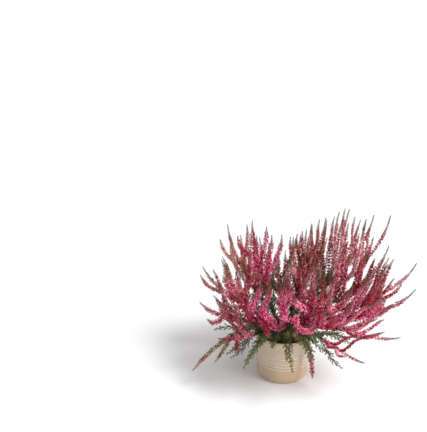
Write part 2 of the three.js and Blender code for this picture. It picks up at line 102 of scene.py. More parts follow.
def draw(spray: int, shoot: int, purpose: Draw) -> float:
    """Gives a repeatable draw from 0 to 1.

    Args:
        spray: The spray's number.
        shoot: The shoot's number on its spray.
        purpose: What the draw is for.

    Returns:
        The draw.
    """
    h = 0
    for number, factor in zip((spray, shoot, purpose.value), HASH_FACTORS):
        h = (h ^ ((number + 1) * factor)) & HASH_MASK
    for shift, factor in HASH_ROUNDS:
        h = ((h ^ (h >> shift)) * factor) & HASH_MASK
    return (h ^ (h >> HASH_LAST_SHIFT)) / (HASH_MASK + 1)


# ---- Finishes ----


class NodeBench:
    """Lays out the nodes of one material."""

    # the Mix node's colour sockets, which share their names with its other kinds
    MIX_SHARE, MIX_A, MIX_B, MIX_RESULT = 0, 6, 7, 2

    def __init__(self, name: str) -> None:
        """Starts an empty material with a principled shader.

        Args:
            name: The material's name.
        """
        self.material = bpy.data.materials.new(name)
        self.material.use_nodes = True
        self.tree = self.material.node_tree
        self.tree.nodes.clear()
        self.output = self.tree.nodes.new("ShaderNodeOutputMaterial")
        self.shader = self.tree.nodes.new("ShaderNodeBsdfPrincipled")
        self.tree.links.new(self.shader.outputs["BSDF"], self.output.inputs["Surface"])
        self.place = self.tree.nodes.new("ShaderNodeTexCoord").outputs["Object"]

    def node(self, kind: str, inputs: Optional[dict] = None, **settings: object) -> bpy.types.Node:
        """Adds a node.

        Args:
            kind: The node's type, without its prefix.
            inputs: Values or sockets by input name or number.
            settings: Properties of the node itself.

        Returns:
            The node.
        """
        made = self.tree.nodes.new(f"ShaderNode{kind}")
        for key, value in settings.items():
            setattr(made, key, value)
        for key, value in (inputs or {}).items():
            self.feed(made.inputs[key], value)
        return made

    def feed(self, socket: Socket, value: Input) -> None:
        """Links a socket to another, or sets its value.

        Args:
            socket: The input to feed.
            value: Another node's socket, or a number or colour.
        """
        if isinstance(value, Socket):
            self.tree.links.new(value, socket)
        else:
            socket.default_value = value

    def attribute(self, name: str) -> Socket:
        """Reads a number that the mesh holds at each point."""
        return self.node("Attribute", attribute_name=name).outputs["Fac"]

    def noise(
        self,
        size_mm: float,
        detail: float = 2.0,
        stretch: tuple[float, float, float] = (1.0, 1.0, 1.0),
        roughness: float = 0.5,
    ) -> Socket:
        """Makes noise on the object's own coordinates.

        Args:
            size_mm: Size of its features.
            detail: Octaves of finer noise in it.
            stretch: How much longer the features are along x, y and z.
            roughness: Strength of the finer octaves.

        Returns:
            The socket with the noise, about 0.5.
        """
        scale = [1.0 / (size_mm * MM * s) for s in stretch]
        mapping = self.node("Mapping", {"Vector": self.place, "Scale": scale})
        made = self.node(
            "TexNoise",
            {"Vector": mapping.outputs["Vector"], "Scale": 1.0, "Detail": detail, "Roughness": roughness},
        )
        return made.outputs["Fac"]

    def math(self, operation: str, *values: Input) -> Socket:
        """Joins numbers or sockets by an operation."""
        return self.node("Math", dict(enumerate(values)), operation=operation).outputs[0]

    def weigh(self, a: Socket, share_a: float, b: Socket, share_b: float) -> Socket:
        """Adds two sockets, each times its own share."""
        return self.math("ADD", self.math("MULTIPLY", a, share_a), self.math("MULTIPLY", b, share_b))

    def rise(self, value: Socket, start: float, end: float, low: float = 0.0, high: float = 1.0) -> Socket:
        """Maps a stretch of a value smoothly onto another.

        Args:
            value: The socket to read.
            start: Where the result leaves low.
            end: Where it reaches high.
            low: The result up to start.
            high: The result from end on.

        Returns:
            The socket with the result.
        """
        made = self.node(
            "MapRange",
            {"Value": value, "From Min": start, "From Max": end, "To Min": low, "To Max": high},
            interpolation_type="SMOOTHSTEP",
        )
        return made.outputs["Result"]

    def blend(self, share: Input, a: Input, b: Input) -> Socket:
        """Mixes two colours by a share that varies over the surface.

        Args:
            share: How much of b there is.
            a: The first colour.
            b: The second colour.

        Returns:
            The socket with the mixed colour.
        """
        inputs = {self.MIX_SHARE: share, self.MIX_A: a, self.MIX_B: b}
        made = self.node("Mix", inputs, data_type="RGBA", blend_type="MIX", clamp_factor=True)
        return made.outputs[self.MIX_RESULT]

    def ramp(self, value: Socket, stops: Sequence[tuple[float, Colour]]) -> Socket:
        """Turns a value into a colour.

        Args:
            value: The socket to read.
            stops: Places from 0 to 1 with their colours, in rising order.

        Returns:
            The socket with the colour.
        """
        made = self.node("ValToRGB", {"Fac": value})
        elements = made.color_ramp.elements
        first, *middle, last = stops
        for (place, colour), element in zip((first, last), elements):
            element.position, element.color = place, colour
        for place, colour in middle:
            elements.new(place).color = colour
        return made.outputs["Color"]

    def dress(self, colour: Input, roughness: Input) -> None:
        """Gives the shader its colour and its roughness."""
        self.feed(self.shader.inputs["Base Color"], colour)
        self.feed(self.shader.inputs["Roughness"], roughness)

    def soften(self, weight: float, radius: tuple[float, float, float], depth_mm: float) -> None:
        """Lets light into the surface.

        Args:
            weight: How much of it.
            radius: How far red, green and blue light go, as shares of the depth.
            depth_mm: The depth.
        """
        self.feed(self.shader.inputs["Subsurface Weight"], weight)
        self.feed(self.shader.inputs["Subsurface Radius"], radius)
        self.feed(self.shader.inputs["Subsurface Scale"], depth_mm * MM)

    def bump(self, height: Socket, depth_mm: float, strength: float) -> None:
        """Gives the shader a fine relief."""
        made = self.node("Bump", {"Height": height, "Distance": depth_mm * MM, "Strength": strength})
        self.feed(self.shader.inputs["Normal"], made.outputs["Normal"])


def srgb(red: int, green: int, blue: int) -> Colour:
    """Turns a screen colour into linear light.

    Args:
        red: From 0 to 255, as green and blue are.
        green: The green channel.
        blue: The blue channel.

    Returns:
        The colour, with full cover.
    """
    levels = [c / 255.0 for c in (red, green, blue)]
    linear = [c / 12.92 if c <= 0.04045 else ((c + 0.055) / 1.055) ** 2.4 for c in levels]
    return (*linear, 1.0)


@dataclass(frozen=True)
class BudFinish:
    """Waxy closed buds: coloured sepals with a painted highlight at their tips, on a green foot, olive at a
    spike's tip.
    """

    name: str
    deep: Colour
    body: Colour
    light: Colour
    green_from: float = 0.87
    shade: Colour = srgb(50, 22, 12)
    dusk: Colour = srgb(164, 70, 74)
    olive: Colour = srgb(74, 78, 48)
    foot: Colour = srgb(96, 96, 44)
    greening: float = 0.2
    roughness: float = 0.48
    specular: float = 0.22

    def material(self) -> bpy.types.Material:
        """Makes the material from each bud's tone, its place on the spike and the height on the bud.

        Returns:
            The material.
        """
        bench = NodeBench(self.name)
        tone, tall, ripe = (bench.attribute(name) for name in ("tone", "tall", "ripe"))
        spread = bench.weigh(tone, 0.75, bench.noise(9.0), 0.45)
        stops = [(0.16, self.shade), (0.34, self.deep), (0.56, self.body), (0.9, self.light)]
        # painted highlight: the upper part of each lighter bud blends to the light colour
        tip = bench.math("MULTIPLY", bench.rise(tall, 0.6, 0.95), bench.rise(tone, 0.3, 0.9, high=0.8))
        sepal = bench.blend(tip, bench.ramp(spread, stops), self.light)
        sepal = bench.blend(bench.rise(tall, 0.42, 0.08, high=0.85), sepal, self.foot)
        dull = bench.rise(tone, 0.9, 0.3, low=0.2, high=0.8)
        unopened = bench.math("MULTIPLY", bench.rise(ripe, 0.5, 0.9), dull)
        sepal = bench.blend(unopened, sepal, self.dusk)
        age = bench.math("ADD", ripe, bench.math("MULTIPLY", tone, 0.16))
        closed = bench.rise(age, self.green_from, self.green_from + self.greening)
        bench.dress(bench.blend(closed, sepal, self.olive), self.roughness)
        bench.feed(bench.shader.inputs["Specular IOR Level"], self.specular)
        bench.soften(0.1, (1.0, 0.35, 0.3), 1.2)
        bench.bump(bench.noise(0.5, stretch=(1.0, 1.0, 3.0)), 0.12, 0.5)
        return bench.material


@dataclass(frozen=True)
class LeafFinish:
    """Tiny scale leaves, from deep green in the middle of the plant to yellowish green at young tips."""

    name: str
    deep: Colour = srgb(28, 42, 20)
    body: Colour = srgb(66, 94, 42)
    young: Colour = srgb(132, 148, 72)
    dry: Colour = srgb(138, 98, 60)
    roughness: float = 0.52

    def material(self) -> bpy.types.Material:
        """Makes the material from each leaf's tone and its place on the stem.

        Returns:
            The material.
        """
        bench = NodeBench(self.name)
        tone = bench.attribute("tone")
        spread = bench.weigh(tone, 0.5, bench.noise(14.0), 0.6)
        leaf = bench.ramp(spread, [(0.2, self.deep), (0.52, self.body), (0.85, self.young)])
        tip = bench.math("MULTIPLY", bench.rise(bench.attribute("ripe"), 0.5, 1.0, high=0.5), tone)
        leaf = bench.blend(tip, leaf, self.young)
        dead = bench.rise(bench.noise(16.0, 3.0), 0.54, 0.66, high=0.6)
        bench.dress(bench.blend(dead, leaf, self.dry), self.roughness)
        bench.soften(0.06, (0.5, 1.0, 0.3), 0.8)
        bench.bump(bench.noise(0.45), 0.1, 0.5)
        return bench.material


@dataclass(frozen=True)
class BarkFinish:
    """Thin woody stems: brown bark that flakes lengthwise, reddish where it is young."""

    name: str
    dark: Colour = srgb(46, 32, 24)
    body: Colour = srgb(92, 66, 46)
    young: Colour = srgb(122, 78, 56)
    roughness: float = 0.8

    def material(self) -> bpy.types.Material:
        """Makes the material, redder towards the end of a stem.

        Returns:
            The material.
        """
        bench = NodeBench(self.name)
        flakes = bench.noise(1.3, 3.0, (1.0, 1.0, 5.0))
        bark = bench.ramp(flakes, [(0.34, self.dark), (0.68, self.body)])
        young = bench.rise(bench.attribute("ripe"), 0.0, 0.6, high=0.7)
        bench.dress(bench.blend(young, bark, self.young), self.roughness)
        bench.bump(flakes, 0.35, 0.8)
        return bench.material


@dataclass(frozen=True)
class PotFinish:
    """Thin taupe plastic with a faint fleck, moulding lines, a painted highlight and painted shade along its
    rings, patchy brown darkening at the foot and a little peat dust under the rim.
    """

    name: str
    body: Colour = srgb(200, 182, 159)
    warm: Colour = srgb(192, 165, 135)
    # painted highlight over each ring, and painted shade just under it
    crest_highlight: Colour = srgb(240, 230, 214)
    crease_shade: Colour = srgb(166, 142, 116)
    fleck: Colour = srgb(162, 134, 110)
    dust: Colour = srgb(112, 84, 62)
    crest_rise: float = 0.4
    crease_drop: float = 1.5
    ring_fade: tuple[float, float] = (1.2, 0.2)
    foot_darkening: tuple[float, float] = (12.0, 0.0)
    rim_dust: tuple[float, float] = (82.0, 95.5)
    roughness: float = 0.44

    def material(self) -> bpy.types.Material:
        """Makes the material, with light and shade drawn on the rings, patchy brown darkening at the foot and
        peat dust at the rim.

        Returns:
            The material.
        """
        bench = NodeBench(self.name)
        height = bench.node("SeparateXYZ", {"Vector": bench.place}).outputs["Z"]
        lower = bench.rise(height, 10.0 * MM, 80.0 * MM, 0.2, -0.15)
        faded = bench.math("ADD", lower, bench.noise(38.0, 3.0))
        plastic = bench.blend(bench.rise(faded, 0.35, 0.75), self.body, self.warm)
        flecks = bench.rise(bench.noise(0.9), 0.66, 0.74, high=0.4)
        plastic = bench.blend(flecks, plastic, self.fleck)
        near, far = (edge * MM for edge in self.ring_fade)
        # painted highlight just above each ring and painted shade just below it
        for ring in Pot.ring_heights:
            for place, painted_band in ((ring + self.crest_rise, self.crest_highlight), (ring - self.crease_drop, self.crease_shade)):
                off = bench.math("ABSOLUTE", bench.math("SUBTRACT", height, place * MM))
                plastic = bench.blend(bench.rise(off, near, far, high=0.6), plastic, painted_band)
        # patchy brown darkening towards the foot, and peat dust near the rim
        low = bench.rise(height, *(edge * MM for edge in self.foot_darkening), high=0.6)
        high = bench.rise(height, *(edge * MM for edge in self.rim_dust), high=0.75)
        patchy = bench.rise(bench.noise(5.0, 4.0, roughness=0.7), 0.5, 0.68)
        rim_dust_and_dark_foot = bench.math("MULTIPLY", bench.math("MAXIMUM", low, high), patchy)
        gloss = bench.rise(bench.noise(11.0, 3.0), 0.3, 0.75, self.roughness - 0.05, self.roughness + 0.12)
        bench.dress(bench.blend(rim_dust_and_dark_foot, plastic, self.dust), gloss)
        lines = bench.noise(1.1, stretch=(30.0, 30.0, 0.6))
        bench.bump(bench.weigh(lines, 0.5, bench.noise(0.35), 0.35), 0.12, 0.6)
        return bench.material


@dataclass(frozen=True)
class PeatFinish:
    """Damp peat: near black crumb with brown fibres and a few pale grains."""

    name: str
    dark: Colour = srgb(28, 20, 15)
    body: Colour = srgb(62, 45, 33)
    fibre: Colour = srgb(112, 84, 58)
    grain: Colour = srgb(176, 164, 142)
    roughness: float = 0.93

    def material(self) -> bpy.types.Material:
        """Makes the material.

        Returns:
            The material.
        """
        bench = NodeBench(self.name)
        crumb = bench.noise(1.8, 4.0, roughness=0.7)
        peat = bench.ramp(crumb, [(0.36, self.dark), (0.66, self.body)])
        fibres = bench.rise(bench.noise(0.7, stretch=(6.0, 1.0, 1.0)), 0.62, 0.7, high=0.7)
        peat = bench.blend(fibres, peat, self.fibre)
        grains = bench.rise(bench.noise(1.4, 0.0), 0.78, 0.82, high=0.8)
        bench.dress(bench.blend(grains, peat, self.grain), self.roughness)
        bench.bump(crumb, 0.9, 1.0)
        return bench.material


@dataclass(frozen=True)
class FloorFinish:
    """Smooth pale paint with the faintest unevenness."""

    name: str
    body: Colour = srgb(242, 242, 243)
    worn: Colour = srgb(238, 238, 240)
    roughness: float = 0.6
    specular: float = 0.2

    def material(self) -> bpy.types.Material:
        """Makes the material.

        Returns:
            The material.
        """
        bench = NodeBench(self.name)
        bench.dress(bench.blend(bench.noise(400.0), self.body, self.worn), self.roughness)
        bench.feed(bench.shader.inputs["Specular IOR Level"], self.specular)
        return bench.material


class Blush(Enum):
    """The colourings of a spray's buds."""

    CRIMSON = BudFinish("buds_crimson", srgb(180, 8, 56), srgb(255, 42, 120), srgb(255, 156, 192))
    CLARET = BudFinish("buds_claret", srgb(164, 20, 50), srgb(248, 58, 108), srgb(255, 184, 198))
    ROSE = BudFinish("buds_rose", srgb(154, 26, 50), srgb(224, 80, 108), srgb(254, 204, 210))
    RUSSET = BudFinish("buds_russet", srgb(176, 60, 60), srgb(232, 112, 108), srgb(250, 206, 190), 0.9)
    STRAW = BudFinish("buds_straw", srgb(120, 92, 52), srgb(184, 176, 108), srgb(240, 238, 190), 1.3)


# ---- Layout of the plant ----


@dataclass(frozen=True)
class Spray:
    """A spray by the azimuth of its tip about +Z from +X, its distance from the pot's axis and its height.

    A root of its own says how far from the axis the spray stands in the peat.
    """

    azimuth: float
    reach: float
    height: float
    full: float = 1.0
    bloom: float = 0.36
    spikes: int = 8
    shoots: int = 4
    root: Optional[float] = None
    blush: Blush = Blush.CRIMSON


SPRAYS = (
    # upright, in the middle
    Spray(124, 108, 288, full=1.1, spikes=8, shoots=5),
    Spray(60, 118, 276, full=0.85, spikes=11, shoots=5, blush=Blush.RUSSET),
    Spray(-30, 134, 226, full=1.25, bloom=0.3, spikes=7, blush=Blush.CLARET),
    Spray(-98, 66, 232, full=1.4, bloom=0.3, spikes=4, shoots=5, root=34),
    Spray(176, 112, 234, full=1.15, bloom=0.34, spikes=9, shoots=5, blush=Blush.CLARET),
    Spray(40, 52, 244, spikes=8, blush=Blush.ROSE),
    # arching, half way out
    Spray(16, 213, 312, full=0.7, spikes=8, shoots=2, blush=Blush.ROSE),
    Spray(32, 219, 290, full=0.7, spikes=9, shoots=3, blush=Blush.ROSE),
    Spray(44, 236, 260, full=0.7, shoots=3, blush=Blush.RUSSET),
    Spray(60, 196, 262, full=0.75, spikes=9, shoots=3, blush=Blush.RUSSET),
    Spray(90, 164, 192, full=0.85, spikes=9, shoots=3, blush=Blush.RUSSET),
    Spray(127, 180, 258, full=0.85, spikes=9, shoots=3, blush=Blush.RUSSET),
    Spray(6, 198, 264, full=0.75, bloom=0.32, spikes=11, blush=Blush.CLARET),
    Spray(-40, 148, 208, full=1.3, bloom=0.28, spikes=6),
    Spray(-148, 112, 212, full=1.35, bloom=0.3, spikes=6, shoots=5),
    # low, at the edge
    Spray(-1, 246, 240, full=0.8, bloom=0.3, spikes=12, shoots=3, blush=Blush.CLARET),
    Spray(-11, 241, 206, full=0.9, bloom=0.3, spikes=13, shoots=2),
    Spray(-19, 222, 120, full=0.7, bloom=0.34, spikes=8, shoots=3, blush=Blush.CLARET),
    Spray(-38, 176, 88, full=0.62, bloom=0.44, spikes=5, shoots=2, blush=Blush.CLARET),
    Spray(-82, 92, 128, full=1.05, bloom=0.52, spikes=3, shoots=5, root=38),
    Spray(-58, 78, 234, full=1.4, bloom=0.28, spikes=4, root=38),
    Spray(-122, 88, 142, full=1.2, bloom=0.4, spikes=4, root=38),
    Spray(-154, 142, 112, full=0.9, bloom=0.38, spikes=7, shoots=2, blush=Blush.CLARET),
    Spray(178, 164, 152, bloom=0.32, blush=Blush.CLARET),
    Spray(144, 196, 174, full=0.85, spikes=7, shoots=3, blush=Blush.RUSSET),
    Spray(104, 212, 166, full=0.85, spikes=7, shoots=3, blush=Blush.RUSSET),
    Spray(54, 236, 172, full=0.85, spikes=7, shoots=3, blush=Blush.ROSE),
    # hanging
    Spray(-162, 186, 38, spikes=2, full=0.9, shoots=1, blush=Blush.STRAW),
    Spray(-46, 78, 20, spikes=1, full=0.9, shoots=0, bloom=0.5, blush=Blush.CLARET),
)


class Curve:
    """A cubic curve that is read by shares of its length."""

    STEPS = 200
    PROBE = 1e-4

    def __init__(self, *handles: np.ndarray) -> None:
        """Measures the curve.

        Args:
            handles: Its start, two handles and end.
        """
        self.handles = np.array(handles, float)
        self.shares = np.linspace(0.0, 1.0, self.STEPS + 1)
        pieces = np.linalg.norm(np.diff(self.raw(self.shares), axis=0), axis=1)
        self.marks = np.concatenate([[0.0], np.cumsum(pieces)])
        self.length = float(self.marks[-1])

    def raw(self, t: np.ndarray) -> np.ndarray:
        """Gives points by the curve's own parameter.

        Args:
            t: The parameter, from 0 to 1.

        Returns:
            The points, a row each.
        """
        t = np.asarray(t, float)[..., None]
        a, b, c, d = self.handles
        s = 1.0 - t
        return a * s**3 + 3.0 * b * s * s * t + 3.0 * c * s * t * t + d * t**3

    def _parameter(self, u: np.ndarray) -> np.ndarray:
        """Turns shares of the length into the curve's own parameter."""
        return np.interp(np.asarray(u, float) * self.length, self.marks, self.shares)

    def points(self, u: np.ndarray) -> np.ndarray:
        """Gives points by shares of the length."""
        return self.raw(self._parameter(u))

    def tangents(self, u: np.ndarray) -> np.ndarray:
        """Gives directions by shares of the length.

        Args:
            u: Shares of its length.

        Returns:
            The directions, a row each.
        """
        t = self._parameter(u)
        before = np.maximum(t - self.PROBE, 0.0)
        after = np.minimum(t + self.PROBE, 1.0)
        return unit(self.raw(after) - self.raw(before))

    def frames(self, u: np.ndarray) -> tuple[np.ndarray, np.ndarray, np.ndarray, np.ndarray]:
        """Gives frames along the curve that don't spin about it.

        Args:
            u: Shares of its length, rising.

        Returns:
            Points, tangents, sides and ups, a row each.
        """
        tangents = self.tangents(u)
        sides = np.empty_like(tangents)
        side = np.array([-tangents[0, 1], tangents[0, 0], 1e-3])
        for n, tangent in enumerate(tangents):
            side = side - tangent * (side @ tangent)
            side = side / math.sqrt(side @ side)
            sides[n] = side
        return self.points(u), tangents, sides, np.cross(tangents, sides)


class Growth(Enum):
    """What a strand is."""

    STEM = "leafy stem"
    LEADER = "leading spike"
    SPIKE = "side spike"
    SHOOT = "green shoot"


@dataclass(frozen=True)
class Habit:
    """The rules that the plant grows by. Lengths in millimetres, angles in degrees."""

    gap: float = 0.35
    pot_height: float = 95.0
    rim_radius: float = 55.0
    inside: float = 50.9
    soil_top: float = 86.0
    soil_clod: float = 1.2
    root_depth: float = 12.0
    stem_radius: float = 1.6
    neck_radius: float = 1.2
    core_radius: float = 0.9
    tip_radius: float = 0.7
    leaf_radius: float = 7.2
    shoot_tip_radius: float = 1.2
    bud_radius: float = 7.6
    middle_bud_radius: float = 6.0
    closed_bud_radius: float = 2.1
    foot_flare: tuple[float, float] = (-0.1, 0.2)
    spike_taper: tuple[float, float] = (0.0, 0.7)
    closing: tuple[float, float] = (0.76, 0.93)
    spike_tip: tuple[float, float] = (0.92, 1.0)
    neck_taper: tuple[float, float] = (0.85, 1.0)
    shoot_taper: tuple[float, float] = (0.6, 1.0)
    bare_length: float = 22.0
    root_radii: tuple[float, float] = (6.0, 26.0)
    root_room: float = 9.0
    root_rounds: int = 40
    low_lean: float = 75.0
    start_lean: float = 26.0
    start_share: float = 0.8
    straight_lean: float = 92.0
    upturn: float = 3.0
    downturn: float = 3.9
    steepest: float = 175.0
    handle: float = 0.4
    rise: float = 1.1
    rim_room: float = 5.0
    side_angle: float = 32.0
    side_branch: tuple[float, float] = (0.05, 0.44)
    side_full: float = 0.92
    side_spread: tuple[float, float] = (18.0, 46.0)
    side_share: tuple[float, float] = (0.6, 0.88)
    side_stand: float = 0.75
    side_upturn: float = 0.75
    shoot_branch: tuple[float, ...] = (0.92, 0.82, 0.72, 0.62, 0.54)
    shoot_length: tuple[float, float] = (34.0, 74.0)
    shoot_spread: float = 0.42
    shoot_droop: float = 56.0
    shoot_hang: float = 104.0
    shoot_fall: float = 6.0
    forked: float = 0.4
    turns_tried: int = 12
    clearance_points: int = 41
    lowest: float = 14.0
    sample_pitch: float = 6.0


HABIT = Habit()


def leaning(azimuth: float, lean: float) -> np.ndarray:
    """Gives a direction that leans from upright towards an azimuth, both in degrees."""
    a, b = math.radians(azimuth), math.radians(lean)
    return np.array([math.sin(b) * math.cos(a), math.sin(b) * math.sin(a), math.cos(b)])


def polar(azimuth: float, distance: float, z: float) -> np.ndarray:
    """Gives a point by its azimuth in degrees, its distance from the pot's axis and its height."""
    a = math.radians(azimuth)
    return np.array([distance * math.cos(a), distance * math.sin(a), z])


def arc(
    start: np.ndarray, leave: np.ndarray, end: np.ndarray, arrive: np.ndarray, rise: float = 1.0
) -> Curve:
    """Makes the curve between two points that starts and ends in given directions.

    Args:
        start: The first point.
        leave: The direction there.
        end: The last point.
        arrive: The direction there.
        rise: How much further the first handle reaches.

    Returns:
        The curve.
    """
    handle = float(np.linalg.norm(end - start)) * HABIT.handle
    return Curve(start, start + leave * handle * rise, end - arrive * handle, end)


def pot_clearance(points: np.ndarray) -> np.ndarray:
    """Measures how far points are from the pot's rim and its soil.

    Args:
        points: The points, a row each.

    Returns:
        The lesser of the two distances for each.
    """
    distance = np.hypot(points[..., 0], points[..., 1])
    z = points[..., 2]
    across = np.maximum(HABIT.inside - distance, distance - HABIT.rim_radius)
    over_rim = np.hypot(np.maximum(across, 0.0), np.maximum(z - HABIT.pot_height, 0.0))
    top = HABIT.soil_top + HABIT.soil_clod
    over_soil = np.hypot(np.maximum(distance - HABIT.inside, 0.0), np.maximum(z - top, 0.0))
    return np.minimum(over_rim, over_soil)


def lean_of(spray: Spray) -> float:
    """Gives a spray's lean from upright in degrees, as seen from the middle of the soil."""
    return math.degrees(math.atan2(spray.reach, spray.height - HABIT.soil_top))


def tip_lean_of(spray: Spray) -> float:
    """Gives the lean of a spray's tip, which turns up where the spray stands and down where it hangs.

    Args:
        spray: The spray.

    Returns:
        The lean from upright, in degrees.
    """
    lean = lean_of(spray)
    if lean < HABIT.straight_lean:
        return HABIT.straight_lean * (lean / HABIT.straight_lean) ** HABIT.upturn
    return min(HABIT.straight_lean + (lean - HABIT.straight_lean) * HABIT.downturn, HABIT.steepest)


def bud_reach(v: np.ndarray, full: float) -> np.ndarray:
    """Gives the reach of buds along a spike.

    Args:
        v: Shares of the spike's length.
        full: How broad the spike is.

    Returns:
        The reach at each share, in millimetres.
    """
    opened = mix(HABIT.bud_radius, HABIT.middle_bud_radius, over(v, HABIT.spike_taper)) * full
    closing = mix(opened, HABIT.closed_bud_radius, over(v, HABIT.closing))
    return mix(closing, HABIT.tip_radius, over(v, HABIT.spike_tip)) * over(v, HABIT.foot_flare)


@dataclass
class Strand:
    """A stretch of stem with its leaves or buds."""

    growth: Growth
    spray: int
    curve: Curve
    start: float = 0.0
    end: float = 1.0
    full: float = 1.0
    bare: float = 0.0
    length: float = field(init=False)
    samples: np.ndarray = field(init=False)

    def __post_init__(self) -> None:
        """Measures the strand and marks the points that others keep clear of."""
        self.length = self.curve.length * (self.end - self.start)
        steps = math.ceil(self.length / HABIT.sample_pitch)
        self.samples = self.curve.points(self.shares(np.linspace(0.0, 1.0, steps + 1)))

    @property
    def flowers(self) -> bool:
        """Whether it bears flowers."""
        return self.growth in (Growth.LEADER, Growth.SPIKE)

    def shares(self, v: np.ndarray) -> np.ndarray:
        """Turns shares of the strand into shares of its curve."""
        return self.start + (self.end - self.start) * np.asarray(v, float)

    def reach(self, v: np.ndarray) -> np.ndarray:
        """Gives how far the leaves or buds reach.

        Args:
            v: Shares of the strand.

        Returns:
            The reach at each share, in millimetres.
        """
        v = np.asarray(v, float)
        if self.flowers:
            return bud_reach(v, self.full)
        if self.growth is Growth.SHOOT:
            return mix(HABIT.leaf_radius, HABIT.shoot_tip_radius, over(v, HABIT.shoot_taper))
        leafy = mix(HABIT.leaf_radius, HABIT.neck_radius, over(v, HABIT.neck_taper))
        return np.where(v < self.bare, HABIT.stem_radius, leafy)


def nearest(points: np.ndarray, samples: np.ndarray) -> np.ndarray:
    """Measures the least distance from each point to some others."""
    squares = (points**2).sum(1)[:, None] + (samples**2).sum(1)[None] - 2.0 * points @ samples.T
    return np.sqrt(np.maximum(squares.min(1), 0.0))


